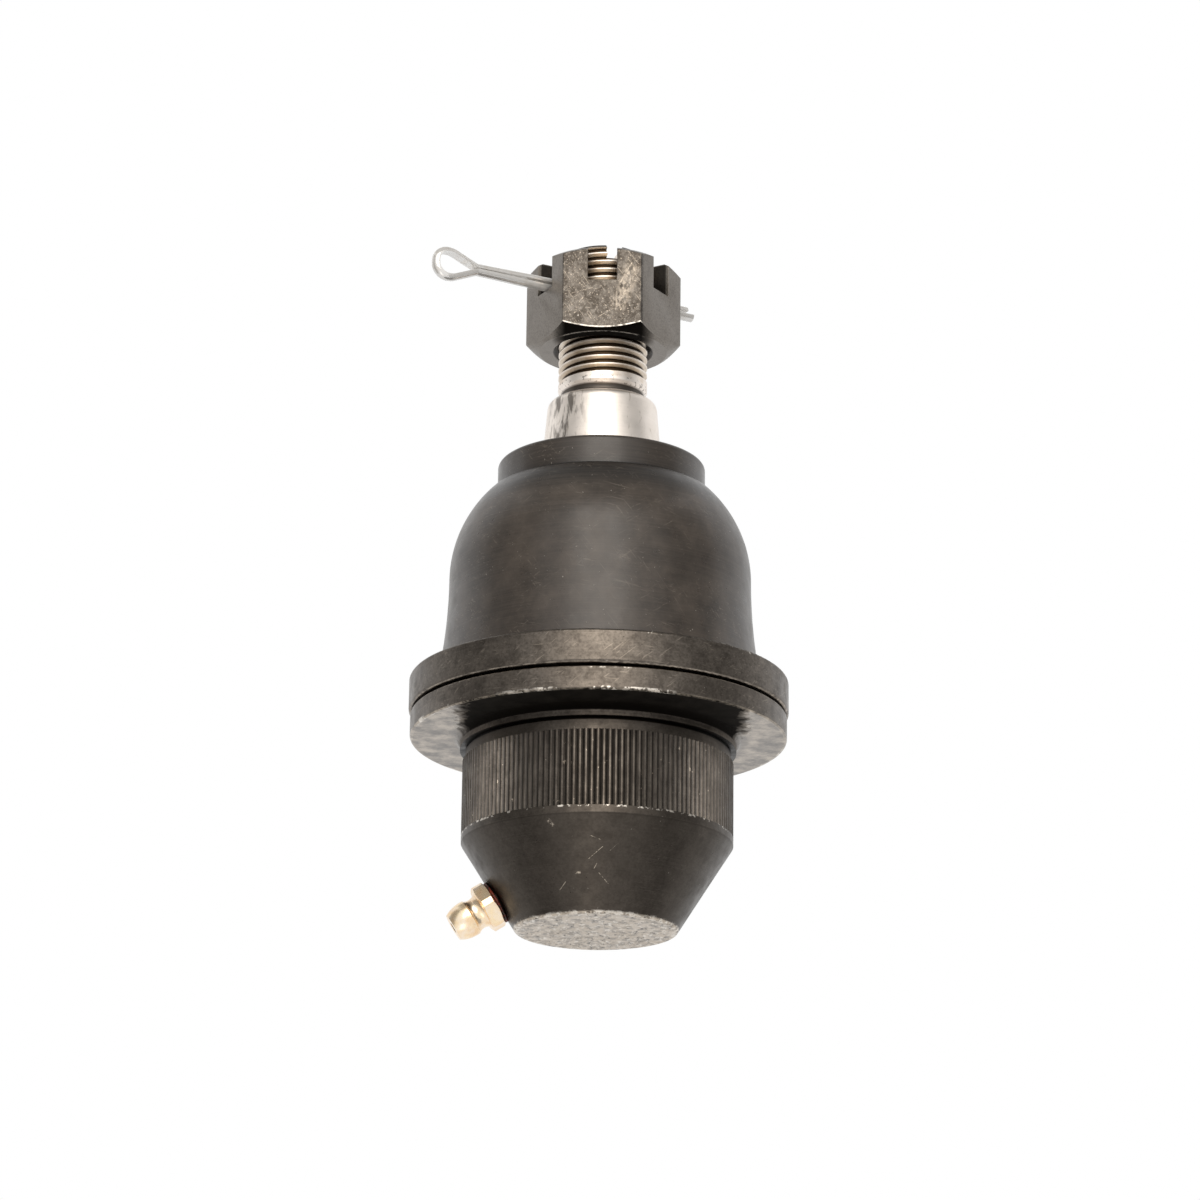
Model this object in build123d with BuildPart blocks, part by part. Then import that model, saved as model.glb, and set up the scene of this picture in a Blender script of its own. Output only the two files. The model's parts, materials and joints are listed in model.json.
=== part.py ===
from build123d import *
from math import asin, cos, pi, radians, sin, sqrt, tan
import os

# Press-in suspension ball joint, millimetres.
# Origin: on the housing axis, in the plane of the flange's seating face.
# +Z runs up the stud to its threaded end; the grease fitting leans out towards -X.

os.makedirs("parts", exist_ok=True)

hex_sides = 6           # nut and grease fitting

# ---------------------------------------------------------------- clearances
running_gap = 0.05      # ball in its bearings, bearings in the housing, stud in the boot collar
seat_gap = 0.02         # between pieces that are pressed or laid together
rubber_gap = 0.05       # rubber against the metal that holds it

# ------------------------------------------------------------------- housing
press_r = 23.6          # over the serrations
band_length = 13.31     # of the serrations
serration_count = 146
serration_depth = 0.42
serration_mouth = 0.74  # width of one groove at the crests
land_length = 1.25      # plain land below the serrations
neck_length = 1.79      # plain band above the serrations
neck_drop = 0.5         # from the crests down to that band
relief_width = 0.35     # undercut below the root step
relief_depth = 0.3
step_length = 2.1       # root step under the flange
step_rise = 0.5         # from the crests out to the root step
flange_root = 1.2       # fillet between root step and flange
flange_thickness = 4.1
flange_inset = 0.3      # flange rim inside the boot ring's rim
flange_edge = 0.35      # edge break on the flange rim
boss_r = 27.0           # boss that the boot ring is pressed on
boss_edge = 0.5
lip_thickness = 2.98    # lip rolled in over the closing ring
lip_overlap = 1.4
lip_round = 1.6
base_r = 14.0           # closed bottom face
base_round = 0.6
base_thickness = 6.1
sump_r = 12.9           # pocket for the preload washer

# ---------------------------------------------------- ball, neck and bearings
ball_r = 14.29
ball_z = -6.0           # swing centre
ball_flat_r = 3.3       # turned flat on the pole
bearing_wall = 4.66     # beside the ball
bearing_split = 0.7     # gap between the two bearings at the ball's equator
bearing_mouth = 60.0    # edge of the upper bearing's seat, degrees from the pole
bearing_flare = 1.5     # how much the upper bearing opens above its seat
bearing_floor = 3.17    # lower bearing below the ball
bearing_spigot = 0.41   # how far the lower bearing stands in the sump
bearing_taper = 6.1     # height over which it narrows to the sump
lower_hole_r = 4.0      # grease hole in the lower bearing
groove_r = 0.8          # grease grooves across the lower bearing's seat
closing_ring_ledge = 0.95   # closing ring's rim outside the bearing bore
closing_ring_seat = 3.0
closing_ring_thickness = 3.2
closing_ring_mouth_r = 14.8
closing_ring_edge = 0.8
plate_thickness = 1.55  # pressure plate under the lower bearing
plate_hole_r = 3.5
washer_thickness = 1.1  # disc spring under the pressure plate
washer_height = 2.85
washer_inner_r = 5.2
washer_gap = 0.5        # round the disc spring's rim

# ---------------------------------------------------------------------- stud
stud_neck_r = 7.6
neck_fillet = 2.0
neck_end = 16.0         # where the neck starts to swell
neck_blend = 20.0       # radius that eases the swell
shank_lead = 5.0        # full shank below the boot's collar
collar_overrun = 0.5    # how far the collar reaches over the taper
taper_length = 12.6
taper_r = 10.73         # at the large end
taper_rate = 1 / 6      # change of diameter for each millimetre of length
taper_round = 1.5
shoulder_length = 0.5   # slope from the taper into the thread run-out groove
undercut_width = 0.7    # thread run-out groove
undercut_depth = 0.95
thread_r = 7.95         # outside of the M16 x 1.5 thread
thread_length = 26.6
thread_chamfer = 1.1
end_slot_width = 3.0
end_slot_depth = 2.5
end_slot_turn = 15.6    # from the -Y direction towards +X, degrees

# ----------------------------------------------------------------- castle nut
nut_flats = 24.0
nut_height = 15.8
nut_face_inset = 0.6    # end faces inside the flats
nut_chamfer_angle = 30.0
nut_bore_gap = 0.05     # between the two plain cylinders that carry the thread
nut_countersink = 0.9
nut_slot_width = 5.2
nut_slot_depth = 6.4
nut_turn = -1.5         # about the stud axis, degrees; one flat then faces -Y

# ----------------------------------------------------------------- cotter pin
cotter_wire_r = 1.05    # half-round wire
cotter_from_end = 7.2   # below the end of the stud
cotter_hole_gap = 0.4   # round the pin in its hole
cotter_seat = 0.1       # above the floor of the nut's slots
cotter_split = 0.1      # gap between the legs at the eye
cotter_spread = 0.5     # gap between them in the nut
cotter_leg = 18.2       # longer leg, past the stud axis
cotter_leg_step = 1.2   # by which the other is shorter
cotter_spread_start = 13.5  # from here out to the eye the legs close up
cotter_spread_bend = 12.0
cotter_eye_start = 25.9
cotter_eye_rise = 4.9   # from there to the widest part of the eye
cotter_eye_length = 8.6
cotter_eye_height = 6.3
cotter_neck_bend = 1.5  # bend where the legs open into the eye
cotter_side_bend = 3.0  # widest part of the eye
cotter_eye_bend = 1.9   # inside bend at the end of the eye

# ------------------------------------------------------- boot and its rings
bead_width = 3.2        # room for the boot's bead round the boss
ring_wall = 3.0         # steel ring outside the bead
ring_gap = 0.5          # between the ring and the flange
ring_height = 5.95
ring_web = 2.0          # web that grips the boss
ring_lip = 1.2          # lip over the bead
ring_lip_width = 1.8
ring_edge = 0.5
boot_wall = 2.2
boot_waist_r = 26.6     # outer radius where the flank stands upright
boot_waist_z = 29.0
boot_crown_wall = 2.0
boot_ledge = 1.2        # crown's edge outside the collar
boot_roof_inset = 1.1   # inside of the crown's edge
boot_collar_r = 18.4
boot_collar_bottom = 43.0
boot_collar_height = 7.4
boot_collar_edge = 0.7
insert_r = 14.0         # steel grip ring in the collar
insert_lift = 2.6       # above the bottom of the collar
insert_height = 3.0

# ------------------------------------------------------------- grease fitting
fitting_rise = 5.1      # where its axis meets the cone, above the base
fitting_hex = 8.0
fitting_hex_corner_r = 4.35     # to which the hexagon's corners are turned
fitting_hex_face_r = 3.7
fitting_hex_gap = 0.4   # hexagon above the cone
fitting_hex_height = 2.6
fitting_shank_r = 3.1
fitting_shank_length = 4.2
fitting_waist_r = 2.75
fitting_waist_length = 2.2
fitting_head_r = 3.2
fitting_head_length = 0.6
fitting_tip_r = 2.4
fitting_length = 8.7    # from the cone to the tip
fitting_bore_r = 1.5
fitting_mouth_r = 0.95
fitting_mouth_length = 0.3
fitting_seat_length = 1.1
port_run = 0.4          # tapped depth below the fitting's shank
port_r = 1.6            # drilling on into the sump
port_length = 8.0
check_ball_gap = 0.25   # round the check ball in the bore
retainer_thickness = 0.4
retainer_hole_r = 0.6
crimp_bite = 0.3        # crimped end that holds the retainer
crimp_length = 1.2
spring_wire_r = 0.18
spring_gap = 0.37       # round the spring in the bore
spring_turns = 8
sealant_width = 0.7     # squeezed out round the fitting's shank

# ------------------------------------------------------------- derived places
# bearings, and the stack that preloads them, from the ball down to the base
seat_r = ball_r + running_gap
bearing_r = seat_r + bearing_wall
bore_r = bearing_r + running_gap
closing_ring_r = bore_r + closing_ring_ledge
closing_ring_top = closing_ring_seat + closing_ring_thickness
lower_bearing_bottom = ball_z - seat_r - bearing_floor
plate_bottom = lower_bearing_bottom - running_gap - plate_thickness
washer_bottom = plate_bottom - seat_gap - washer_height
sump_floor = washer_bottom - seat_gap
sump_top = lower_bearing_bottom + bearing_spigot
bore_floor = sump_top + bearing_taper

# outside of the housing, and the rings on it
base_z = sump_floor - base_thickness
neck_r = press_r - neck_drop
relief_r = neck_r - relief_depth
step_r = press_r + step_rise
relief_top = -step_length
relief_bottom = relief_top - relief_width
band_top = relief_bottom - neck_length
band_bottom = band_top - band_length
cone_top = band_bottom - land_length
lip_r = closing_ring_r - lip_overlap
boss_top = closing_ring_top + seat_gap + lip_thickness
ring_recess_r = boss_r + bead_width
ring_lip_r = ring_recess_r - ring_lip_width
ring_r = ring_recess_r + ring_wall
ring_bottom = flange_thickness + ring_gap
ring_top = ring_bottom + ring_height
flange_r = ring_r - flange_inset

# up the stud, from the boot's collar to the threaded end
boot_collar_top = boot_collar_bottom + boot_collar_height
boot_shoulder_z = boot_collar_bottom + boot_crown_wall
insert_bottom = boot_collar_bottom + insert_lift
grip_r = taper_r + running_gap
shank_start = boot_collar_bottom - shank_lead
taper_start = boot_collar_top - collar_overrun
taper_end = taper_start + taper_length
undercut_bottom = taper_end + shoulder_length
undercut_top = undercut_bottom + undercut_width
undercut_r = thread_r - undercut_depth
nut_bore_r = thread_r + nut_bore_gap
shoulder_r = nut_bore_r
stud_top = undercut_top + thread_length
cotter_z = stud_top - cotter_from_end
cotter_half = cotter_wire_r + cotter_spread / 2     # both legs together in the nut
nut_top = cotter_z - cotter_half - cotter_seat + nut_slot_depth
nut_bottom = nut_top - nut_height
nut_corner_r = nut_flats / 2 / cos(pi / hex_sides)
nut_face_r = nut_flats / 2 - nut_face_inset
nut_slot_angles = [nut_turn - 90 + 360 * side / hex_sides for side in range(hex_sides)]
pin_angle = radians(nut_slot_angles[-1])    # the cotter pin's eye points this way
pin_axis = Vector(cos(pin_angle), sin(pin_angle), 0)

# the grease fitting stands square on the cone
cone_slope = (press_r - base_r) / (cone_top - base_z)
cone_lean = asin(cone_slope / sqrt(1 + cone_slope**2))
fitting_origin = Vector(-(base_r + fitting_rise * cone_slope), 0, base_z + fitting_rise)
fitting_axis = Vector(-cos(cone_lean), 0, -sin(cone_lean))
fitting_plane = Plane(origin=fitting_origin, x_dir=(0, 1, 0), z_dir=fitting_axis)
fitting_section = Plane(
    origin=fitting_origin, x_dir=(0, 1, 0), z_dir=Vector(0, 1, 0).cross(fitting_axis)
)


def corner(x, y):
    """The corner of the sketch being drawn that lies nearest to (x, y)."""
    return vertices().sort_by_distance((x, y, 0))[0]


def save(piece, name):
    piece.part.label = name
    export_step(piece.part, f"parts/{name}.step")


# ------------------------------------------------------------------- housing
# One forged and turned cup: closed base, cone, serrated press band, flange and
# boot boss, with the lip that is rolled over the closing ring.
with BuildPart() as housing:
    with BuildSketch(Plane.XZ):
        with BuildLine():
            Polyline(
                (0, base_z),
                (base_r, base_z),
                (press_r, cone_top),
                (press_r, band_top),
                (neck_r, band_top),
                (neck_r, relief_bottom),
                (relief_r, relief_bottom),
                (relief_r, relief_top),
                (step_r, relief_top),
                (step_r, 0),
                (flange_r, 0),
                (flange_r, flange_thickness),
                (boss_r, flange_thickness),
                (boss_r, boss_top),
                (lip_r, boss_top),
                (lip_r, closing_ring_top + seat_gap),
                (closing_ring_r + seat_gap, closing_ring_top + seat_gap),
                (closing_ring_r + seat_gap, closing_ring_seat),
                (bore_r, closing_ring_seat),
                (bore_r, bore_floor),
                (sump_r, sump_top),
                (sump_r, sump_floor),
                (0, sump_floor),
                close=True,
            )
        make_face()
        fillet(corner(base_r, base_z), radius=base_round)
        fillet(corner(step_r, 0), radius=flange_root)
        fillet([corner(flange_r, 0), corner(flange_r, flange_thickness)], radius=flange_edge)
        chamfer(corner(boss_r, boss_top), length=boss_edge)
        fillet(corner(lip_r, boss_top), radius=lip_round)
    revolve(axis=Axis.Z)
    # straight V serrations that bite into the control arm's eye
    with BuildSketch(Plane.XY.offset(band_bottom)):
        with PolarLocations(press_r, serration_count):
            Polygon(
                (-serration_depth, 0),
                (serration_depth, -serration_mouth),
                (serration_depth, serration_mouth),
                align=None,
            )
    extrude(amount=band_top - band_bottom, mode=Mode.SUBTRACT)
    # tapped port for the grease fitting, then a drilling into the sump
    with BuildSketch(fitting_plane.offset(2 * fitting_shank_r)):
        Circle(fitting_shank_r + seat_gap)
    extrude(amount=-(2 * fitting_shank_r + fitting_shank_length + port_run), mode=Mode.SUBTRACT)
    with BuildSketch(fitting_plane):
        Circle(port_r)
    extrude(amount=-port_length, mode=Mode.SUBTRACT)
save(housing, "housing")

# ---------------------------------------------------- preload under the ball
with BuildPart() as preload_washer:
    with BuildSketch(Plane.XZ):
        with BuildLine():
            Polyline(
                (washer_inner_r, washer_bottom + washer_height - washer_thickness),
                (sump_r - washer_gap, washer_bottom),
                (sump_r - washer_gap, washer_bottom + washer_thickness),
                (washer_inner_r, washer_bottom + washer_height),
                close=True,
            )
        make_face()
    revolve(axis=Axis.Z)
save(preload_washer, "preload_washer")

with BuildPart() as pressure_plate:
    with BuildSketch(Plane.XY.offset(plate_bottom)):
        Circle(sump_r - running_gap)
        Circle(plate_hole_r, mode=Mode.SUBTRACT)
    extrude(amount=plate_thickness)
save(pressure_plate, "pressure_plate")

# ------------------------------------------------------------------- bearings
with BuildPart() as lower_bearing:
    with BuildSketch(Plane.XZ):
        with BuildLine():
            Polyline(
                (lower_hole_r, lower_bearing_bottom),
                (sump_r - running_gap, lower_bearing_bottom),
                (sump_r - running_gap, sump_top + running_gap),
                (bearing_r, bore_floor + running_gap),
                (bearing_r, ball_z - bearing_split / 2),
                (lower_hole_r, ball_z - bearing_split / 2),
                close=True,
            )
        make_face()
    revolve(axis=Axis.Z)
    with Locations((0, 0, ball_z)):
        Sphere(seat_r, mode=Mode.SUBTRACT)
    # two crossed grease grooves run down the seat and meet at the hole
    with Locations(Location((0, 0, ball_z), (90, 0, 0)), Location((0, 0, ball_z), (90, 0, 90))):
        Torus(seat_r, groove_r, mode=Mode.SUBTRACT)
save(lower_bearing, "lower_bearing")

bearing_mouth_r = seat_r * sin(radians(bearing_mouth))
bearing_mouth_z = ball_z + seat_r * cos(radians(bearing_mouth))
with BuildPart() as upper_bearing:
    with BuildSketch(Plane.XZ):
        with BuildLine():
            Polyline(
                (bearing_mouth_r, ball_z + bearing_split / 2),
                (bearing_r, ball_z + bearing_split / 2),
                (bearing_r, closing_ring_seat - running_gap),
                (bearing_mouth_r + bearing_flare, closing_ring_seat - running_gap),
                (bearing_mouth_r, bearing_mouth_z),
                close=True,
            )
        make_face()
    revolve(axis=Axis.Z)
    with Locations((0, 0, ball_z)):
        Sphere(seat_r, mode=Mode.SUBTRACT)
save(upper_bearing, "upper_bearing")

with BuildPart() as closing_ring:
    with BuildSketch(Plane.XZ):
        with BuildLine():
            Polyline(
                (closing_ring_mouth_r, closing_ring_seat),
                (closing_ring_r, closing_ring_seat),
                (closing_ring_r, closing_ring_top),
                (closing_ring_mouth_r, closing_ring_top),
                close=True,
            )
        make_face()
        chamfer(corner(closing_ring_mouth_r, closing_ring_top), length=closing_ring_edge)
    revolve(axis=Axis.Z)
save(closing_ring, "closing_ring")

# ------------------------------------------------------------------ ball stud
ball_flat_z = ball_z - sqrt(ball_r**2 - ball_flat_r**2)
neck_start = ball_z + sqrt(ball_r**2 - stud_neck_r**2)
taper_end_r = taper_r - (taper_end - taper_start) * taper_rate / 2

with BuildPart() as ball_stud:
    with BuildSketch(Plane.XZ):
        with BuildLine():
            Line((0, ball_flat_z), (ball_flat_r, ball_flat_z))
            ThreePointArc((ball_flat_r, ball_flat_z), (ball_r, ball_z), (stud_neck_r, neck_start))
            Polyline(
                (stud_neck_r, neck_start),
                (stud_neck_r, neck_end),
                (taper_r, shank_start),
                (taper_r, taper_start),
                (taper_end_r, taper_end),
                (shoulder_r, taper_end),
                (undercut_r, undercut_bottom),
                (undercut_r, undercut_top),
                (thread_r, undercut_top + undercut_depth),
                (thread_r, stud_top),
                (0, stud_top),
                (0, ball_flat_z),
            )
        make_face()
        fillet(corner(stud_neck_r, neck_start), radius=neck_fillet)
        fillet([corner(stud_neck_r, neck_end), corner(taper_r, shank_start)], radius=neck_blend)
        fillet(corner(taper_end_r, taper_end), radius=taper_round)
        chamfer(corner(thread_r, stud_top), length=thread_chamfer)
    revolve(axis=Axis.Z)
    # driver slot across the end, then the cross hole for the cotter pin
    with BuildSketch(Plane.XY.offset(stud_top - end_slot_depth)):
        Rectangle(end_slot_width, 2 * nut_bore_r, rotation=end_slot_turn)
    extrude(amount=end_slot_depth, mode=Mode.SUBTRACT)
    with BuildSketch(Plane(origin=(0, 0, cotter_z), z_dir=pin_axis)):
        Circle(cotter_half + cotter_hole_gap)
    extrude(amount=nut_bore_r, both=True, mode=Mode.SUBTRACT)
save(ball_stud, "ball_stud")

# ----------------------------------------------------------------- castle nut
nut_chamfer_rise = (nut_corner_r - nut_face_r) * tan(radians(nut_chamfer_angle))

with BuildPart() as castle_nut:
    with BuildSketch(Plane.XY.offset(nut_bottom)):
        RegularPolygon(nut_flats / 2, hex_sides, major_radius=False, rotation=nut_turn)
    extrude(amount=nut_height)
    # both ends are turned to a 30 degree cone
    with BuildSketch(Plane.XZ):
        with BuildLine():
            Polyline(
                (0, nut_bottom),
                (nut_face_r, nut_bottom),
                (nut_corner_r, nut_bottom + nut_chamfer_rise),
                (nut_corner_r, nut_top - nut_chamfer_rise),
                (nut_face_r, nut_top),
                (0, nut_top),
                close=True,
            )
        make_face()
    revolve(axis=Axis.Z, mode=Mode.INTERSECT)
    with BuildSketch(Plane.XY.offset(nut_bottom)):
        Circle(nut_bore_r)
    extrude(amount=nut_height, mode=Mode.SUBTRACT)
    rims = edges().filter_by(GeomType.CIRCLE)
    chamfer(rims.filter_by(lambda rim: rim.radius < nut_face_r), length=nut_countersink)
    with BuildSketch(Plane.XY.offset(nut_top - nut_slot_depth)):
        for angle in nut_slot_angles:
            with Locations(Location((0, 0, 0), (0, 0, angle))):
                Rectangle(nut_corner_r, nut_slot_width, align=(Align.MIN, Align.CENTER))
    extrude(amount=nut_slot_depth, mode=Mode.SUBTRACT)
save(castle_nut, "castle_nut")

# ----------------------------------------------------------------- cotter pin
# Half-round wire: the path runs along its flat side, out along one leg, round
# the eye and back along the other.
pin_plane = Plane(origin=(0, 0, cotter_z), x_dir=pin_axis, z_dir=pin_axis.cross(Vector(0, 0, 1)))
leg_y = cotter_spread / 2
split_y = cotter_split / 2
side_x = cotter_eye_start + cotter_eye_rise
eye_x = cotter_eye_start + cotter_eye_length - cotter_wire_r
eye_y = cotter_eye_height / 2 - cotter_wire_r
outward_bends = [cotter_spread_bend, cotter_neck_bend, cotter_side_bend, cotter_eye_bend]

with BuildPart() as cotter_pin:
    with BuildLine(pin_plane) as pin_path:
        FilletPolyline(
            (cotter_leg_step - cotter_leg, leg_y),
            (cotter_spread_start, leg_y),
            (cotter_eye_start, split_y),
            (side_x, eye_y),
            (eye_x, eye_y),
            (eye_x, -eye_y),
            (side_x, -eye_y),
            (cotter_eye_start, -split_y),
            (cotter_spread_start, -leg_y),
            (-cotter_leg, -leg_y),
            radius=outward_bends + outward_bends[::-1],
        )
    with BuildSketch(Plane(origin=pin_path.line @ 0, x_dir=(0, 0, 1), z_dir=pin_axis)):
        Circle(cotter_wire_r)
        Rectangle(
            cotter_wire_r, 2 * cotter_wire_r, align=(Align.MIN, Align.CENTER), mode=Mode.INTERSECT
        )
    sweep(path=pin_path.line)
save(cotter_pin, "cotter_pin")

# --------------------------------------------------------- boot and its rings
with BuildPart() as boot_base_ring:
    with BuildSketch(Plane.XZ):
        with BuildLine():
            Polyline(
                (boss_r + seat_gap, ring_bottom),
                (ring_r, ring_bottom),
                (ring_r, ring_top),
                (ring_lip_r, ring_top),
                (ring_lip_r, ring_top - ring_lip),
                (ring_recess_r, ring_top - ring_lip),
                (ring_recess_r, ring_bottom + ring_web),
                (boss_r + seat_gap, ring_bottom + ring_web),
                close=True,
            )
        make_face()
        fillet([corner(ring_r, ring_bottom), corner(ring_r, ring_top)], radius=ring_edge)
    revolve(axis=Axis.Z)
save(boot_base_ring, "boot_base_ring")

bead_bottom = ring_bottom + ring_web + rubber_gap
bead_top = ring_top - ring_lip - rubber_gap
boot_floor = boss_top + rubber_gap
boot_foot_r = ring_lip_r - rubber_gap
boot_shoulder_r = boot_collar_r + boot_ledge
boot_roof_r = boot_shoulder_r - boot_roof_inset
groove_bottom = insert_bottom - rubber_gap
groove_top = insert_bottom + insert_height + rubber_gap

with BuildPart() as dust_boot:
    with BuildSketch(Plane.XZ):
        with BuildLine():
            # bead in the ring's recess, and the foot that passes the ring's lip
            Polyline(
                (boot_foot_r - boot_wall, boot_floor),
                (boss_r + rubber_gap, boot_floor),
                (boss_r + rubber_gap, bead_bottom),
                (ring_recess_r - rubber_gap, bead_bottom),
                (ring_recess_r - rubber_gap, bead_top),
                (boot_foot_r, bead_top),
                (boot_foot_r, ring_top),
            )
            # outside: flared flank, then the crown
            TangentArc((boot_waist_r, boot_waist_z), (boot_foot_r, ring_top), tangent=(0, -1))
            TangentArc((boot_waist_r, boot_waist_z), (boot_shoulder_r, boot_shoulder_z), tangent=(0, 1))
            # collar, with the groove for its grip ring
            Polyline(
                (boot_shoulder_r, boot_shoulder_z),
                (boot_collar_r, boot_shoulder_z),
                (boot_collar_r, boot_collar_top),
                (grip_r, boot_collar_top),
                (grip_r, groove_top),
                (insert_r + rubber_gap, groove_top),
                (insert_r + rubber_gap, groove_bottom),
                (grip_r, groove_bottom),
                (grip_r, boot_collar_bottom),
                (boot_roof_r, boot_collar_bottom),
            )
            # inside
            TangentArc(
                (boot_waist_r - boot_wall, boot_waist_z),
                (boot_roof_r, boot_collar_bottom),
                tangent=(0, 1),
            )
            TangentArc(
                (boot_waist_r - boot_wall, boot_waist_z),
                (boot_foot_r - boot_wall, boot_floor),
                tangent=(0, -1),
            )
        make_face()
        fillet(corner(boot_collar_r, boot_collar_top), radius=boot_collar_edge)
    revolve(axis=Axis.Z)
save(dust_boot, "dust_boot")

with BuildPart() as boot_collar_insert:
    with BuildSketch(Plane.XY.offset(insert_bottom)):
        Circle(insert_r)
        Circle(grip_r, mode=Mode.SUBTRACT)
    extrude(amount=insert_height)
save(boot_collar_insert, "boot_collar_insert")

# ------------------------------------------------------------- grease fitting
# Drawn in its own section plane: x is the radius, y runs out along its axis.
fitting_line = Axis(fitting_origin, fitting_axis)
hex_top = fitting_hex_gap + fitting_hex_height
head_bottom = hex_top + fitting_waist_length
head_top = head_bottom + fitting_head_length
seat_top = fitting_length - fitting_mouth_length
seat_bottom = seat_top - fitting_seat_length
crimp_top = crimp_length - fitting_shank_length
crimp_r = fitting_bore_r - crimp_bite

fitting_hex_slope = tan(radians(nut_chamfer_angle))
fitting_hex_chamfer = (fitting_hex_corner_r - fitting_hex_face_r) * fitting_hex_slope

with BuildPart() as grease_fitting:
    with BuildSketch(fitting_plane.offset(fitting_hex_gap)):
        RegularPolygon(fitting_hex / 2, hex_sides, major_radius=False)
    extrude(amount=fitting_hex_height)
    # the hexagon's corners and both its faces are turned
    with BuildSketch(fitting_section):
        with BuildLine():
            Polyline(
                (0, fitting_hex_gap),
                (fitting_hex_face_r, fitting_hex_gap),
                (fitting_hex_corner_r, fitting_hex_gap + fitting_hex_chamfer),
                (fitting_hex_corner_r, hex_top - fitting_hex_chamfer),
                (fitting_hex_face_r, hex_top),
                (0, hex_top),
                close=True,
            )
        make_face()
    revolve(axis=fitting_line, mode=Mode.INTERSECT)
    # shank, waist and rounded head
    with BuildSketch(fitting_section):
        with BuildLine():
            Polyline(
                (0, -fitting_shank_length),
                (fitting_shank_r, -fitting_shank_length),
                (fitting_shank_r, hex_top),
            )
            ThreePointArc(
                (fitting_shank_r, hex_top),
                (fitting_waist_r, (hex_top + head_bottom) / 2),
                (fitting_head_r, head_bottom),
            )
            Line((fitting_head_r, head_bottom), (fitting_head_r, head_top))
            TangentArc((fitting_head_r, head_top), (fitting_tip_r, fitting_length), tangent=(0, 1))
            Polyline(
                (fitting_tip_r, fitting_length),
                (0, fitting_length),
                (0, -fitting_shank_length),
            )
        make_face()
    revolve(axis=fitting_line)
    # bore with the check ball's conical seat and the crimped inner end
    with BuildSketch(fitting_section):
        with BuildLine():
            Polyline(
                (0, -fitting_shank_length),
                (crimp_r, -fitting_shank_length),
                (crimp_r, crimp_top),
                (fitting_bore_r, crimp_top),
                (fitting_bore_r, seat_bottom),
                (fitting_mouth_r, seat_top),
                (fitting_mouth_r, fitting_length),
                (0, fitting_length),
                close=True,
            )
        make_face()
    revolve(axis=fitting_line, mode=Mode.SUBTRACT)
save(grease_fitting, "grease_fitting")

check_ball_r = fitting_bore_r - check_ball_gap
seat_run = fitting_bore_r - fitting_mouth_r
seat_slant = sqrt(seat_run**2 + fitting_seat_length**2)
seat_offset = fitting_bore_r * fitting_seat_length - (check_ball_r + running_gap) * seat_slant
check_ball_y = seat_bottom + seat_offset / seat_run

with BuildPart() as grease_check_ball:
    with Locations(fitting_origin + fitting_axis * check_ball_y):
        Sphere(check_ball_r)
save(grease_check_ball, "grease_check_ball")

retainer_bottom = crimp_top + seat_gap
with BuildPart() as grease_spring_retainer:
    with BuildSketch(fitting_plane.offset(retainer_bottom)):
        Circle(fitting_bore_r - seat_gap)
        Circle(retainer_hole_r, mode=Mode.SUBTRACT)
    extrude(amount=retainer_thickness)
save(grease_spring_retainer, "grease_spring_retainer")

spring_mean_r = fitting_bore_r - spring_gap - spring_wire_r
spring_bottom = retainer_bottom + retainer_thickness + spring_wire_r + seat_gap
ball_reach = check_ball_r + spring_wire_r + seat_gap
spring_top = check_ball_y - sqrt(ball_reach**2 - spring_mean_r**2)
spring_length = spring_top - spring_bottom

with BuildPart() as grease_check_spring:
    with BuildLine() as spring_line:
        Helix(
            pitch=spring_length / spring_turns,
            height=spring_length,
            radius=spring_mean_r,
            center=fitting_origin + fitting_axis * spring_bottom,
            direction=fitting_axis,
        )
    with BuildSketch(Plane(origin=spring_line.line @ 0, z_dir=spring_line.line % 0)):
        Circle(spring_wire_r)
    sweep(path=spring_line.line, is_frenet=True)
save(grease_check_spring, "grease_check_spring")

sealant_r = fitting_shank_r + sealant_width
with BuildPart() as thread_sealant:
    with BuildSketch(fitting_section):
        with BuildLine():
            Polyline(
                (sealant_r, fitting_hex_gap - seat_gap),
                (fitting_shank_r + seat_gap, fitting_hex_gap - seat_gap),
                (fitting_shank_r + seat_gap, seat_gap),
                (sealant_r, seat_gap),
            )
            ThreePointArc(
                (sealant_r, seat_gap),
                (sealant_r + fitting_hex_gap / 4, fitting_hex_gap / 2),
                (sealant_r, fitting_hex_gap - seat_gap),
            )
        make_face()
    revolve(axis=fitting_line)
save(thread_sealant, "thread_sealant")
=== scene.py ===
import json
from math import atan2, cos, pi, radians, sin, sqrt, tan

import bpy
from bpy.props import FloatProperty, FloatVectorProperty, IntProperty, PointerProperty
from bpy.types import NodeSocket, Operator, Panel, PropertyGroup
from mathutils import Matrix, Vector

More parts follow.
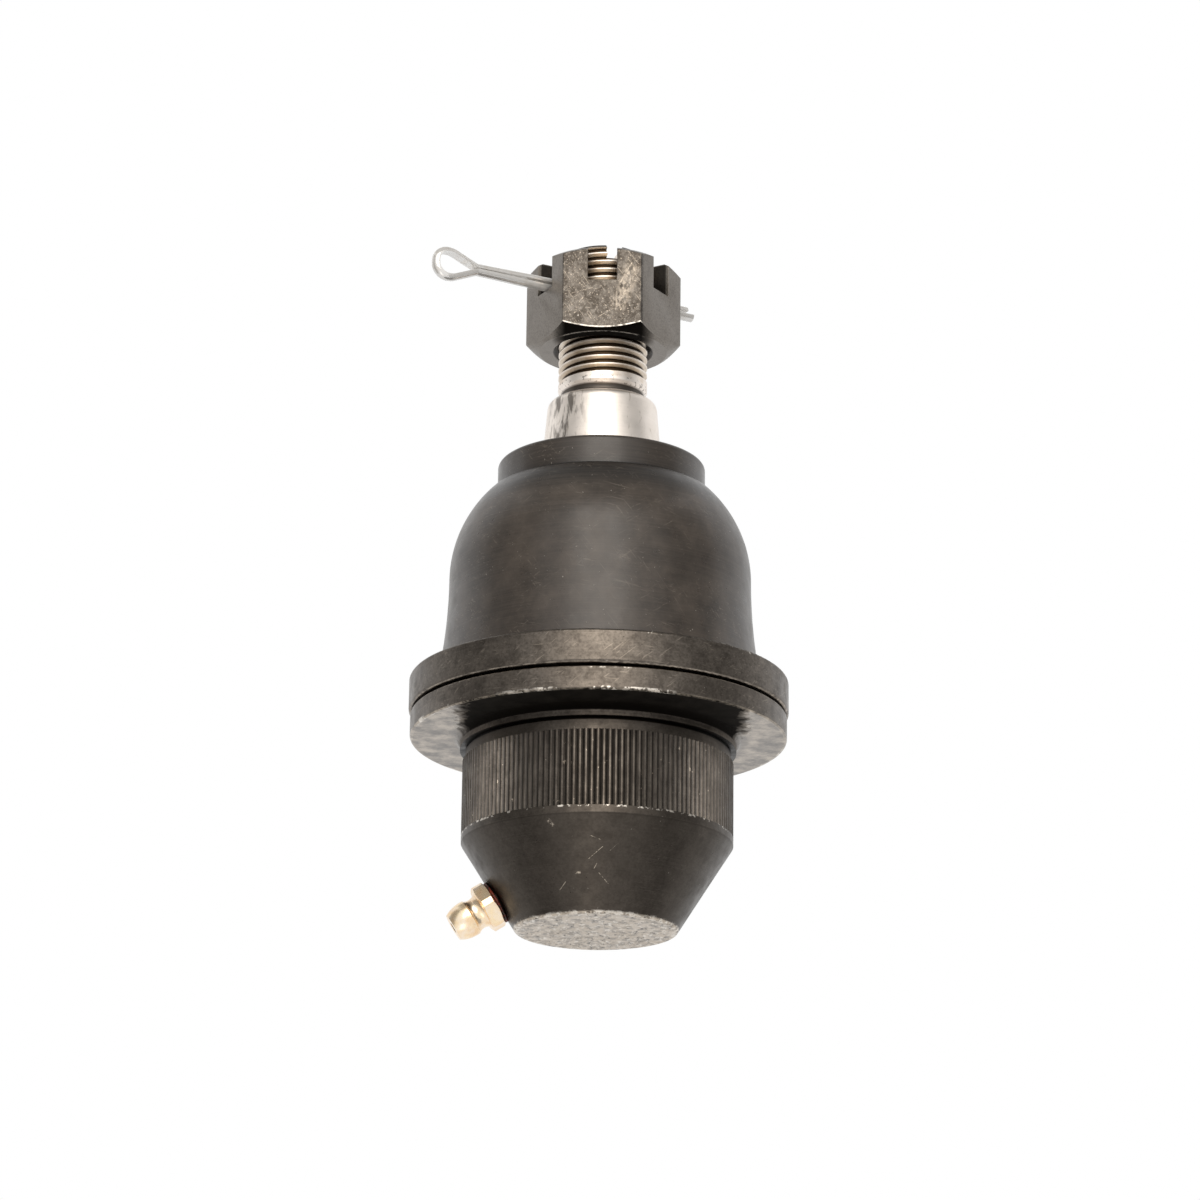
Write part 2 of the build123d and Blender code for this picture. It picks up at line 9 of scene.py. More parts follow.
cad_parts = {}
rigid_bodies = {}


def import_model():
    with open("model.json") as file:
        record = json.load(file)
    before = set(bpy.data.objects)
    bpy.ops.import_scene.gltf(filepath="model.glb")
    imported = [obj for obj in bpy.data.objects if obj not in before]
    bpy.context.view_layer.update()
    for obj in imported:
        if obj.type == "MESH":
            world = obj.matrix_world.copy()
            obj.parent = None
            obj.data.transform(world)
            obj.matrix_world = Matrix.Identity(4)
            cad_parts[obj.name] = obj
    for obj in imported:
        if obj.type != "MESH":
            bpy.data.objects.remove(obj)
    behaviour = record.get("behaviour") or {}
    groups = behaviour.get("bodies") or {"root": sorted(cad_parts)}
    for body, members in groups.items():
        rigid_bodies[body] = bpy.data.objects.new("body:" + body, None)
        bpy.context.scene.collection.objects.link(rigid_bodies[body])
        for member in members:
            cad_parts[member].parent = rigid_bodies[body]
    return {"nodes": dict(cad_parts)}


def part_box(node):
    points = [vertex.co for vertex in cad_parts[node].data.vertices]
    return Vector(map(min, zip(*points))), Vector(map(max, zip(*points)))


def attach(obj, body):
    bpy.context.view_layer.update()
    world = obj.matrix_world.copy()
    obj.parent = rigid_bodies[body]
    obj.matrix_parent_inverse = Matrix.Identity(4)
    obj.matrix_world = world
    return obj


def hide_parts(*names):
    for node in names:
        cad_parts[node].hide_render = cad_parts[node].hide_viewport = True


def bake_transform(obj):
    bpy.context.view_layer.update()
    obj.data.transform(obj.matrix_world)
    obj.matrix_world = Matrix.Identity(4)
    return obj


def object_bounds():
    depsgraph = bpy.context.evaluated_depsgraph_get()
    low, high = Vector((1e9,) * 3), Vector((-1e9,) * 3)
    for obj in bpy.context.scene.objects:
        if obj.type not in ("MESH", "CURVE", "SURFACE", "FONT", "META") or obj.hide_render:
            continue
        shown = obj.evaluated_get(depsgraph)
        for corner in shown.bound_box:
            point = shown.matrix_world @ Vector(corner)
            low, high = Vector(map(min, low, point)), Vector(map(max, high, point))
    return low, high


bl_info = {
    "name": "Suspension Ball Joint",
    "version": (1, 0, 0),
    "blender": (4, 5, 0),
    "location": "View3D > Sidebar > Ball Joint",
    "description": "Dresses the packed ball joint with threads, a rubber boot and worn metal finishes",
    "category": "Object",
}

for leftover in list(bpy.data.objects):
    bpy.data.objects.remove(leftover)
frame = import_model()
cad_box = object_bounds()

MM = 0.001
TURN = 2 * pi
HEX = pi / 3                # from one corner of a hexagon to the next
SLOPE = tan(radians(30))    # of a thread's flanks and of the nut's chamfer
ROUND = 144                 # facets round the stud and the boot
TOOL_ROUND = 96             # facets round the nut's tools and the floor
MERGE = 0.0004 * MM         # vertices nearer than this are one


def from_hex(code):
    """An sRGB hex colour as linear red, green and blue."""
    parts = [int(code[i:i + 2], 16) / 255 for i in (0, 2, 4)]
    return [c / 12.92 if c <= 0.04045 else ((c + 0.055) / 1.055) ** 2.4 for c in parts]


def length(label, about, millimetres):
    return FloatProperty(
        name=label, description=about, default=millimetres * MM, unit="LENGTH", precision=5
    )


def angle(label, about, degrees):
    return FloatProperty(name=label, description=about, default=radians(degrees), subtype="ANGLE")


def level(label, about, value):
    return FloatProperty(name=label, description=about, default=value, min=0)


def colour(label, about, code):
    return FloatVectorProperty(
        name=label, description=about, default=from_hex(code), subtype="COLOR", min=0, max=1
    )


# ------------------------------------------------------------------- settings
class BallJointThread(PropertyGroup):
    pitch: length("Pitch", "Rise of the thread in one turn", 1.5)
    root: length("Root radius", "Radius at the bottom of the stud's thread", 7.08)
    crest: length("Crest radius", "Radius over the stud's thread", 7.95)
    nut_crest: length("Nut crest radius", "Radius inside the crests of the nut's thread", 7.19)
    nut_root: length("Nut root radius", "Radius at the bottom of the nut's thread", 8.04)
    steps: IntProperty(name="Steps", description="Facets in one turn", default=72, min=24, max=144)


class BallJointStud(PropertyGroup):
    ball: length("Ball radius", "Radius of the ball", 14.29)
    centre: length("Ball centre", "Height of the ball's centre", -6.0)
    flat: length("Pole flat", "Radius of the flat turned on the ball's pole", 3.3)
    neck: length("Neck radius", "Radius of the neck above the ball", 7.6)
    neck_end: length("Neck end", "Height where the neck starts to swell", 16.0)
    swell: length("Swell", "Radius of both curves between the neck and the shank", 20.0)
    shank_start: length("Shank start", "Height where the full shank starts", 38.0)
    shank: length("Shank radius", "Radius of the shank and the taper's large end", 10.73)
    taper_start: length("Taper start", "Height where the taper starts", 49.9)
    taper_end: length("Taper end", "Height where the taper ends", 62.5)
    taper_small: length("Taper small end", "Radius at the taper's small end", 9.68)
    shoulder: length("Shoulder radius", "Radius where the run-out groove's slope starts", 8.0)
    groove: length("Groove radius", "Radius of the thread run-out groove", 7.0)
    groove_start: length("Groove start", "Height where the groove starts", 63.0)
    groove_end: length("Groove end", "Height where the groove ends", 63.7)
    thread_start: length("Thread start", "Height of the first turn of the thread", 65.6)
    top: length("Top", "Height of the stud's threaded end", 90.3)
    end_chamfer: length("End chamfer", "Chamfer on the threaded end", 1.1)
    hole: length("Cross hole radius", "Radius of the cotter pin's hole", 1.7)
    hole_height: length("Cross hole height", "Height of the cotter pin's hole", 83.1)
    slot_width: length("End slot width", "Width of the driver slot", 3.0)
    slot_depth: length("End slot depth", "Depth of the driver slot", 2.5)
    slot_turn: angle("End slot turn", "Direction of the driver slot from -Y towards +X", 15.6)


class BallJointNut(PropertyGroup):
    flats: length("Across flats", "Width of the hexagon", 24.0)
    bottom: length("Bottom", "Height of the nut's lower face", 72.3)
    height: length("Height", "Height of the nut", 15.8)
    face: length("Face radius", "Radius of both end faces inside the chamfer", 11.4)
    slot_width: length("Slot width", "Width of the castle slots", 5.2)
    slot_depth: length("Slot depth", "Depth of the castle slots", 6.4)
    countersink: length("Countersink", "Chamfer at both ends of the thread", 0.9)
    edge: length("Edge", "How far the sharp edges are worn back", 0.16)
    turn: angle("Turn", "How far the nut is turned on the stud", -1.5)


class BallJointBoot(PropertyGroup):
    boss: length("Bore radius", "Inside of the bead, round the housing's boss", 27.05)
    bead: length("Bead radius", "Outside of the bead in the steel ring", 30.15)
    foot: length("Foot radius", "Radius where the boot leaves the ring", 28.35)
    floor: length("Floor", "Height of the boot's lowest inner edge", 9.25)
    bead_bottom: length("Bead bottom", "Lower face of the bead", 6.65)
    bead_top: length("Bead top", "Upper face of the bead", 9.3)
    foot_top: length("Foot top", "Height of the steel ring's top", 10.55)
    wall: length("Wall", "Thickness of the rubber", 2.2)
    waist: length("Waist radius", "Radius where the flank stands upright", 26.6)
    waist_height: length("Waist height", "Height of the waist", 29.0)
    shoulder: length("Shoulder radius", "Radius where the crown meets the collar", 19.6)
    shoulder_height: length("Shoulder height", "Height of the collar's foot", 45.0)
    roof: length("Roof radius", "Radius where the inside of the crown ends", 18.5)
    roof_height: length("Roof height", "Height of the collar's lower face", 43.0)
    collar: length("Collar radius", "Radius of the collar", 18.4)
    collar_top: length("Collar top", "Height of the collar's upper face", 50.4)
    grip: length("Grip radius", "Bore of the collar on the stud", 10.78)
    insert: length("Insert groove radius", "Groove for the steel grip ring", 14.05)
    insert_bottom: length("Insert groove bottom", "Lower face of that groove", 45.55)
    insert_top: length("Insert groove top", "Upper face of that groove", 48.65)
    bend_start: length("Bend start", "Height below which the boot keeps still", 12.0)
    bend_end: length("Bend end", "Height above which the boot follows the stud", 42.8)


class BallJointFitting(PropertyGroup):
    lean: angle("Lean", "How far the fitting points down from -X", 32.105)
    hexagon: length("Hexagon", "From its base to the check ball's centre", 7.0)
    coil: length("Coil radius", "Radius of the check spring to its wire's middle", 0.95)
    wire: length("Wire radius", "Radius of the check spring's wire", 0.18)
    turns: IntProperty(name="Turns", description="Turns of the check spring", default=8, min=2, max=20)
    spring_start: length("Spring start", "From its inner end to the ball's centre", 9.77)
    spring_end: length("Spring end", "From its outer end to the ball's centre", 1.1)


class BallJointFinish(PropertyGroup):
    oxide: colour("Oxide", "Dark oxide film on the turned steel", "645D56")
    oxide_pale: colour("Worn oxide", "Where the film is rubbed thin", "7E766D")
    # thick or dirty film, and also painted shade on the downward-facing cone
    deep_oxide_and_shade: colour("Deep oxide", "Where the film is thick or dirty", "3A3530")
    cast: colour("Cast face", "Bare closed face at the bottom of the housing", "B9AD9E")
    bare: colour("Bare steel", "Nicks, crests and ground faces", "D9D2C8")
    bright: colour("Bright steel", "The ground taper and thread", "F4EBE2")
    nut: colour("Nut steel", "Plain steel of the castle nut", "7F7972")
    tint: colour("Oil tint", "Brown film of old oil in the thread", "A98A5E")
    flank: colour("Thread flank", "Sides of the stud's thread", "D6CABA")
    root: colour("Thread root", "Oil at the bottom of the stud's thread", "34281C")
    # painted shade: this colour stands in for the shade and dark reflection inside the run-out groove
    groove: colour("Run-out groove", "Oily dirt in the groove below the thread", "2B241D")
    # dirt in roots and pits, and also painted shade in grooves, gaps and slots and a painted dark
    # reflection on the flange's front underside
    grime_and_shade: colour("Grime", "Dirt in roots and corners", "14110E")
    zinc: colour("Zinc", "Bright zinc of the cotter pin", "FAF9F7")
    yellow_zinc: colour("Yellow zinc", "Passivated zinc of the grease fitting", "F8E2BE")
    peach: colour("Peach", "Where the passivated film is thicker", "E3B98F")
    rubber: colour("Rubber", "Black rubber of the boot", "3F3832")
    rubber_dust: colour("Rubber bloom", "Dust and bloom on the rubber", "6A6057")
    bearing: colour("Bearing", "Oil-soaked sintered iron", "5C5751")
    spring: colour("Spring steel", "Hardened spring steel", "77787A")
    sealant: colour("Sealant", "Thread sealant", "8E2F14")
    floor: colour("Floor", "Studio floor", "F4F3F1")
    floor_light: level("Floor light", "Light of the floor itself", 0.38)


class BallJointStudio(PropertyGroup):
    distance: length("Distance", "From the camera to the middle of the flange", 768.0)
    target: length("Target", "Height that the lamps and the cards face", 25.0)
    floor_radius: length("Floor radius", "Radius of the round floor", 1500.0)
    floor_rim: length("Floor rim", "Width of the floor's outer ring", 1000.0)
    floor_gap: length("Floor gap", "From the floor to the piece's lowest point", 0.3)
    fade_start: length("Fade start", "Radius where the floor starts to fade", 250.0)
    fade_end: length("Fade end", "Radius where the floor is gone", 700.0)
    pitch: angle("Rise", "How far the camera looks up", 15.616)
    aim: angle("Aim", "How far it is tipped up from the flange", 1.84)
    roll: angle("Roll", "How far the picture leans", 0.7)
    lens: level("Lens", "Focal length in millimetres", 132.0)
    fill: level("Fill", "Light of the white room on matt surfaces", 0.3)
    front_power: level("Front", "Front softbox in watts", 4.4)
    top_power: level("Top", "Top softbox in watts", 0.3)
    low_power: level("Low", "Low softbox in watts", 0.4)
    warmth: colour("Warmth", "Colour of the softboxes", "FFF8EE")
    card_light: level("Card light", "How light the side cards are", 0.4)
    card_width: length("Card width", "Width of each side card", 540.0)
    card_distance: length("Card distance", "From Z to the middle of each side card", 600.0)
    card_bearing: angle("Card bearing", "Direction of the side cards from the camera", 73)


SETTINGS = {
    "ball_joint_thread": BallJointThread,
    "ball_joint_stud": BallJointStud,
    "ball_joint_nut": BallJointNut,
    "ball_joint_boot": BallJointBoot,
    "ball_joint_fitting": BallJointFitting,
    "ball_joint_finish": BallJointFinish,
    "ball_joint_studio": BallJointStudio,
}


# ------------------------------------------------------------------ modelling
def leave_edit_mode():
    if bpy.context.object and bpy.context.object.mode != "OBJECT":
        bpy.ops.object.mode_set(mode="OBJECT")
    bpy.ops.object.select_all(action="DESELECT")


def only(piece):
    """Selects one object and makes it active."""
    leave_edit_mode()
    piece.select_set(True)
    bpy.context.view_layer.objects.active = piece


def added(name):
    """Names the object that the last operator added."""
    piece = bpy.context.object
    piece.name = name
    piece.data.name = name
    return piece


def draw_outline(name, points):
    """Draws an outline in the XZ plane, one extruded vertex after another. A point is (x, z), and
    an arc is (centre x, centre z, angle, steps): the last vertex is spun about that centre."""
    leave_edit_mode()
    bpy.ops.mesh.primitive_plane_add(size=MM)
    piece = added(name)
    bpy.ops.object.mode_set(mode="EDIT")
    bpy.ops.mesh.select_mode(type="VERT")
    bpy.ops.mesh.merge(type="CENTER")
    x, z = points[0]
    bpy.ops.transform.translate(value=(x, 0, z))
    for point in points[1:]:
        if len(point) == 2:
            bpy.ops.mesh.extrude_region_move(
                TRANSFORM_OT_translate={"value": (point[0] - x, 0, point[1] - z)}
            )
            x, z = point
        else:
            centre_x, centre_z, angle, steps = point
            bpy.ops.mesh.spin(steps=steps, angle=angle, center=(centre_x, 0, centre_z), axis=(0, 1, 0))
            along, up = x - centre_x, z - centre_z
            x = centre_x + along * cos(angle) - up * sin(angle)
            z = centre_z + along * sin(angle) + up * cos(angle)
    return piece


def round_corners(piece, corners):
    """Bevels the outline's vertices at the given places: (x, z, distance along both edges)."""
    for x, z, offset in corners:
        bpy.ops.mesh.select_all(action="DESELECT")
        bpy.ops.object.mode_set(mode="OBJECT")
        at = Vector((x, 0, z))
        nearest = min(piece.data.vertices, key=lambda vertex: (vertex.co - at).length)
        nearest.select = True
        bpy.ops.object.mode_set(mode="EDIT")
        bpy.ops.mesh.select_mode(type="VERT")
        bpy.ops.mesh.bevel(offset=offset, segments=4, affect="VERTICES")


def spin_round(piece, steps):
    """Turns the outline once round Z and closes it."""
    bpy.ops.mesh.select_all(action="SELECT")
    bpy.ops.mesh.spin(steps=steps, angle=TURN, center=(0, 0, 0), axis=(0, 0, 1))
    bpy.ops.mesh.select_all(action="SELECT")
    bpy.ops.mesh.remove_doubles(threshold=MERGE)
    bpy.ops.mesh.normals_make_consistent(inside=False)
    leave_edit_mode()
    return piece


def modify(piece, kind, **settings):
    """Adds a modifier with its settings and applies it."""
    only(piece)
    bpy.ops.object.modifier_add(type=kind)
    modifier = piece.modifiers[-1]
    for name, value in settings.items():
        setattr(modifier, name, value)
    bpy.ops.object.modifier_apply(modifier=modifier.name)


def cut(piece, tool, operation="DIFFERENCE"):
    """Applies a boolean with the tool, which is then thrown away."""
    modify(piece, "BOOLEAN", object=tool, operation=operation, solver="EXACT")
    if not piece.data.polygons:
        raise RuntimeError(f"cutting with {tool.name} left nothing of {piece.name}")
    bpy.data.objects.remove(tool)


def screw_round(name, section, first, last, pitch, steps):
    """A helix: a closed section is screwed round Z from one height to another."""
    tool = draw_outline(name, [(x, first + z) for x, z in section])
    bpy.ops.mesh.select_all(action="SELECT")
    bpy.ops.mesh.edge_face_add()
    bpy.ops.mesh.delete(type="ONLY_FACE")
    leave_edit_mode()
    modify(
        tool, "SCREW", axis="Z", screw_offset=pitch, iterations=round((last - first) / pitch), steps=steps,
        render_steps=steps,
    )
    bpy.ops.object.mode_set(mode="EDIT")
    bpy.ops.mesh.select_mode(type="EDGE")
    bpy.ops.mesh.select_all(action="DESELECT")
    bpy.ops.mesh.select_non_manifold()
    bpy.ops.mesh.edge_face_add()
    bpy.ops.mesh.select_all(action="SELECT")
    bpy.ops.mesh.normals_make_consistent(inside=False)
    leave_edit_mode()
    return tool


def bar(name, size, place, turn):
    """A square bar, turned about Z, to cut a slot with."""
    leave_edit_mode()
    bpy.ops.mesh.primitive_cube_add(size=1, location=place, rotation=(0, 0, turn))
    tool = added(name)
    tool.dimensions = size
    settle(tool)
    return tool


def settle(piece):
    """Puts the piece's place, turn and size into its mesh."""
    only(piece)
    bpy.ops.object.transform_apply(location=True, rotation=True, scale=True)


def finish_piece(piece, finish):
    """Smooths the piece, keeps its sharp edges, and gives it its finish."""
    settle(piece)
    bpy.ops.object.shade_smooth_by_angle(angle=radians(30))
    piece.data.materials.clear()
    piece.data.materials.append(finish)


# ------------------------------------------------------------------ materials
# Marks are placed by the pieces' own heights and radii, in millimetres.


def put(tree, kind, inputs=None, output=0, **settings):
    """Adds one node, with values or other nodes' sockets for its inputs, and gives an output."""
    node = tree.nodes.new("ShaderNode" + kind)
    for name, value in settings.items():
        setattr(node, name, value)
    for key, value in (inputs or {}).items():
        if isinstance(value, NodeSocket):
            tree.links.new(value, node.inputs[key])
        else:
            node.inputs[key].default_value = value
    return node.outputs[output] if node.outputs else None


def opaque(shade):
    return shade if isinstance(shade, NodeSocket) else (*shade, 1)


def layered(base, layers):
    """Lays colours over the base, one after another: each is followed by the masks that show it."""
    for over, *masks in layers:
        for mask in masks:
            base = put(
                mask.id_data, "Mix", {0: mask, 6: opaque(base), 7: opaque(over)}, output=2, data_type="RGBA"
            )
    return base


def both(mask, *others):
    """A mask that is 1 only where all of these masks are."""
    for other in others:
        mask = put(mask.id_data, "Math", {0: mask, 1: other}, operation="MULTIPLY")
    return mask


def inside(value, low, high, soft, amount=1.0):
    """A mask that is up to `amount` where the value lies between low and high."""
    tree = value.id_data
    return both(
        put(tree, "MapRange", {0: value, 1: low - soft, 2: low + soft}),
        put(tree, "MapRange", {0: value, 1: high - soft, 2: high + soft, 3: amount, 4: 0}),
    )


def patches(place, size, start, stop, stretch=(1, 1, 1), detail=4, amount=1.0, seed=0.0):
    """Noise patches of that size in millimetres: 0 below start, up to `amount` above stop."""
    tree = place.id_data
    scaled = put(tree, "VectorMath", {0: place, 1: stretch}, operation="MULTIPLY")
    noise = put(
        tree, "TexNoise",
        {"Vector": scaled, "W": seed, "Scale": 1 / size, "Detail": detail, "Roughness": 0.6},
        noise_dimensions="4D",
    )
    return put(tree, "MapRange", {0: noise, 1: start, 2: stop, 3: 0, 4: amount})


def strokes(place, turn, share, amount, seed):
    """Fine broken scratches: `turn` is their lean from upright, `share` the noise left bare."""
    turned = put(
        place.id_data, "VectorRotate", {"Vector": place, "Angle": radians(turn)}, rotation_type="Y_AXIS"
    )
    return patches(turned, 0.3, share, share + 0.04, (1, 0.3, 0.06), detail=2, amount=amount, seed=seed)


def new_finish(name):
    """An empty material, and its object coordinates in millimetres."""
    finish = bpy.data.materials.new(name)
    finish.use_nodes = True
    tree = finish.node_tree
    tree.nodes.clear()
    metres = put(tree, "TexCoord", output="Object")
    return finish, put(tree, "VectorMath", {0: metres, "Scale": 1 / MM}, operation="SCALE")


def split(place):
    """The place's x and y, its height and its radius from Z."""
    tree = place.id_data
    x, y, height = put(tree, "SeparateXYZ", {0: place}).node.outputs
    flat = put(tree, "CombineXYZ", {0: x, 1: y})
    return x, y, height, put(tree, "VectorMath", {0: flat}, output="Value", operation="LENGTH")


def shade(finish, base, roughness, height, depth, metallic=1.0):
    """Ends a material. Roughness is a socket, or a mask with its values at 0 and at 1. A height in
    0 to 1 is pressed in by `depth` millimetres."""
    tree = finish.node_tree
    if isinstance(roughness, tuple):
        mask, low, high = roughness
        roughness = put(tree, "MapRange", {0: mask, 3: low, 4: high})
    bump = put(tree, "Bump", {"Height": height, "Distance": depth * MM})
    surface = put(tree, "BsdfPrincipled", {
        "Base Color": base, "Roughness": roughness, "Metallic": metallic, "Normal": bump,
    })
    put(tree, "OutputMaterial", {"Surface": surface})
    return finish


def scratch(place, start, end, width):
    """A straight mark of that width on a face that looks along -Y, from start to end as (x, z)."""
    along = Vector((end[0] - start[0], 0, end[1] - start[1]))
    origin = Vector((start[0], 0, start[1]))
    across = along.normalized().cross(Vector((0, 1, 0)))
    masks = []
    for direction, low, high in ((across, -width / 2, width / 2), (along.normalized(), 0, along.length)):
        value = put(
            place.id_data, "VectorMath", {0: place, 1: direction}, output="Value", operation="DOT_PRODUCT"
        )
        offset = origin.dot(direction)
        masks.append(inside(value, offset + low, offset + high, width / 3))
    return both(*masks)


def scratches(place, face, low, high, marks):
    """Broken marks on that face, as (start, end, width, seed)."""
    return [
        both(face, scratch(place, *mark), patches(place, 0.35, low, high, seed=seed, amount=0.8))
        for *mark, seed in marks
    ]


def oxide_steel(s):
    """Forged, turned steel under a thin black-oxide film: satin and brown-grey, blotched by oil, pale where
    the film is rubbed and bright where an edge is nicked. The cone and the undercut carry painted shade,
    and the front of the flange's underside a painted dark reflection."""
    finish, place = new_finish("black_oxide_forged_steel")
    tree = finish.node_tree
    x, y, height, radius = split(place)
    rubbed = patches(place, 3.5, 0.46, 0.66, amount=0.4)
    dirty = patches(place, 2.0, 0.48, 0.68, seed=3, amount=0.6)
    turned = patches(place, 0.3, 0.5, 0.72, (0.02, 0.02, 1), amount=0.3, seed=1)
    grain = patches(place, 0.4, 0.42, 0.66, seed=17, amount=0.5)
    band = inside(height, -17.6, -4.2, 0.05)
    soot = both(band, patches(place, 5.0, 0.3, 0.7, (1, 1, 0.5), seed=8, amount=0.7))
    roots = both(band, inside(radius, 22.0, 23.27, 0.04, 0.9))
    flanks = both(band, inside(radius, 22.0, 23.52, 0.04, 0.65))
    crests = both(
        band, inside(radius, 23.5, 24.5, 0.04, 0.4),
        patches(place, 1.2, 0.42, 0.62, (1, 1, 0.35), seed=5),
    )
    dents = both(band, patches(place, 0.7, 0.67, 0.70, (1, 1, 0.6), seed=21, detail=3, amount=0.9))
    land = both(inside(height, -19.1, -17.5, 0.1), inside(radius, 23.2, 24, 0.1, 0.6))
    land_edge = both(
        inside(height, -17.85, -17.5, 0.06), patches(place, 0.9, 0.53, 0.58, seed=7, amount=0.8)
    )
    # painted shade: the cone, which faces down, is painted darker
    cone = inside(height, -33.9, -18.9, 0.05, 0.72)
    front = inside(y, -40, -6, 1)
    scores = scratches(place, front, 0.47, 0.55, (
        ((-1.4, -25.9), (1.0, -24.0), 0.07, 41), ((-0.6, -27.6), (0.2, -26.2), 0.08, 42),
        ((-1.6, -22.2), (0.6, -23.0), 0.07, 43), ((-6.2, -30.4), (-5.2, -29.2), 0.09, 44),
        ((-3.6, -27.9), (-2.7, -27.9), 0.3, 45), ((2.2, -24.6), (3.6, -23.4), 0.06, 46),
        ((0.3, -27.9), (2.0, -29.6), 0.09, 47), ((-8.3, -19.8), (-7.4, -20.7), 0.4, 48),
    ))
    foot = inside(height, -36, -33.75, 0.12, 0.95)
    foot_marks, foot_specks, foot_ridges = (
        both(foot, patches(place, size, low, high, stretch=(*flat, 1), seed=seed, amount=amount))
        for size, low, high, flat, seed, amount in (
            (0.6, 0.46, 0.6, (0.5, 0.4), 2, 0.85), (0.4, 0.57, 0.63, (0.6, 0.35), 23, 0.9),
            (0.35, 0.56, 0.62, (0.5, 0.35), 29, 0.8),
        )
    )
    foot_rim = both(
        inside(height, -36, -33.2, 0.1), inside(radius, 13.2, 14.3, 0.1),
        patches(place, 0.9, 0.48, 0.58, seed=25, amount=0.75),
    )
    # painted shade in the undercut groove below the flange's underside
    undercut = inside(height, -2.5, -2.02, 0.05)
    neck = inside(height, -4.3, -2.4, 0.05, 0.5)
    seat = inside(height, -0.2, 0.25, 0.1)
    # painted dark reflection: the front of the flange's underside, across about the neck's width, is
    # painted near black where the serrated band is mirrored in it
    waver = patches(place, 1.8, 0.3, 0.7, seed=31, amount=2.4)
    drift = put(tree, "Math", {0: waver, 1: x}, operation="ADD")
    front_dark_reflection = both(front, inside(drift, -22.3, 26.2, 1.2), inside(height, -1.1, 0.2, 0.12, 0.96))
    seat_pale = both(
        seat, inside(radius, 25.5, 34, 1.0), patches(place, 3.2, 0.38, 0.64, seed=9, amount=0.7)
    )
    rim = inside(radius, 32.35, 34, 0.1)
    clusters = both(rim, patches(place, 9.0, 0.52, 0.6, seed=30))
    worn = [
        both(rim, inside(height, low, high, 0.05), patches(place, 1.1, 0.4, 0.6, seed=low, amount=0.55))
        for low, high in ((-0.02, 0.2), (3.86, 4.1), (4.6, 4.8))
    ]
    nicks = [
        both(
            clusters, inside(height, low, high, 0.08),
            patches(place, 0.9, share, share + 0.05, seed=low, amount=0.9),
        )
        for low, high, share in ((-0.3, 0.5, 0.46), (3.7, 4.2, 0.56), (4.5, 4.95, 0.6), (9.95, 10.8, 0.6))
    ]
    wall = both(rim, inside(height, 0.4, 10.2, 0.1))
    hairlines = [both(wall, strokes(place, turn, 0.64, 0.22, seed)) for turn, seed in ((86, 27), (-50, 28))]
    pits = patches(place, 0.65, 0.72, 0.76, detail=2, seed=11)
    specks = patches(place, 0.4, 0.75, 0.78, detail=2, seed=15, amount=0.6)
    base = layered(s.oxide, (
        (s.oxide_pale, rubbed), (s.deep_oxide_and_shade, dirty), (s.oxide_pale, turned),
        (s.deep_oxide_and_shade, grain, cone, neck, soot), (s.grime_and_shade, roots), (s.oxide_pale, crests),
        (s.deep_oxide_and_shade, land), (s.bare, land_edge), (s.cast, dents, seat_pale, foot),
        (s.oxide_pale, foot_marks), (s.deep_oxide_and_shade, foot_specks), (s.bare, foot_ridges, foot_rim),
        (s.grime_and_shade, undercut, front_dark_reflection, pits), (s.bare, specks), (s.cast, *hairlines, *worn, *scores),
        (s.bare, *nicks),
    ))
    satin = put(tree, "MapRange", {0: patches(place, 2.5, 0.35, 0.7, seed=6), 3: 0.30, 4: 0.48})
    roughness = put(tree, "Mix", {0: seat, 2: satin, 3: 0.24})
    roughness = put(tree, "Mix", {0: front_dark_reflection, 2: roughness, 3: 1.0})
    bare = put(tree, "Math", {0: 1.0, 1: flanks}, operation="SUBTRACT")
    relief = put(tree, "Math", {0: turned, 1: pits}, operation="SUBTRACT")
    relief = put(tree, "Math", {0: relief, 1: foot_specks}, operation="SUBTRACT")
    return shade(finish, base, roughness, relief, 0.03, metallic=bare)


def stud_steel(s):
    """Ground and turned alloy steel: near white on the ground taper, brown with oil in the thread's roots,
    with dark smudges where the taper has been handled. The run-out groove is painted dark as shade."""
    finish, place = new_finish("ground_alloy_steel")
    x, _, height, radius = split(place)
    ground = patches(place, 0.25, 0.4, 0.75, (0.03, 0.03, 1), amount=0.2)
    smudge = both(
        inside(x, -9.0, -3.6, 1.0), inside(height, 49, 62.0, 0.6),
        patches(place, 1.3, 0.47, 0.56, (1, 1, 0.24), seed=2, amount=0.8),
    )
    taper = inside(height, 46, 62.4, 0.5)
    clouds = both(taper, patches(place, 2.2, 0.5, 0.68, seed=6, amount=0.35))
    wipes = both(taper, patches(place, 0.8, 0.6, 0.66, (1, 1, 0.3), seed=13, amount=0.5))
    thread = inside(height, 65.2, 91, 0.25)
    flanks = both(thread, inside(radius, 7.0, 7.84, 0.05, 0.85))
    roots = both(thread, inside(radius, 6.5, 7.3, 0.1))
    tint = both(thread, patches(place, 2.6, 0.42, 0.66, seed=4, amount=0.35))
    # painted shade: the run-out groove below the thread is painted dark
    groove = inside(height, 62.75, 64.1, 0.15, 0.92)
    wash = both(inside(height, 64.1, 65.4, 0.1), patches(place, 0.6, 0.56, 0.62, seed=19, amount=0.7))
    neck = inside(height, 6, 44, 1.0, 0.6)
    base = layered(s.bright, (
        (s.bare, ground), (s.nut, neck), (s.bare, clouds), (s.cast, wipes), (s.oxide, smudge),
        (s.flank, flanks), (s.tint, tint), (s.root, roots), (s.oxide, wash), (s.groove, groove),
    ))
    return shade(finish, base, (patches(place, 3, 0.3, 0.7), 0.34, 0.48), ground, 0.01)


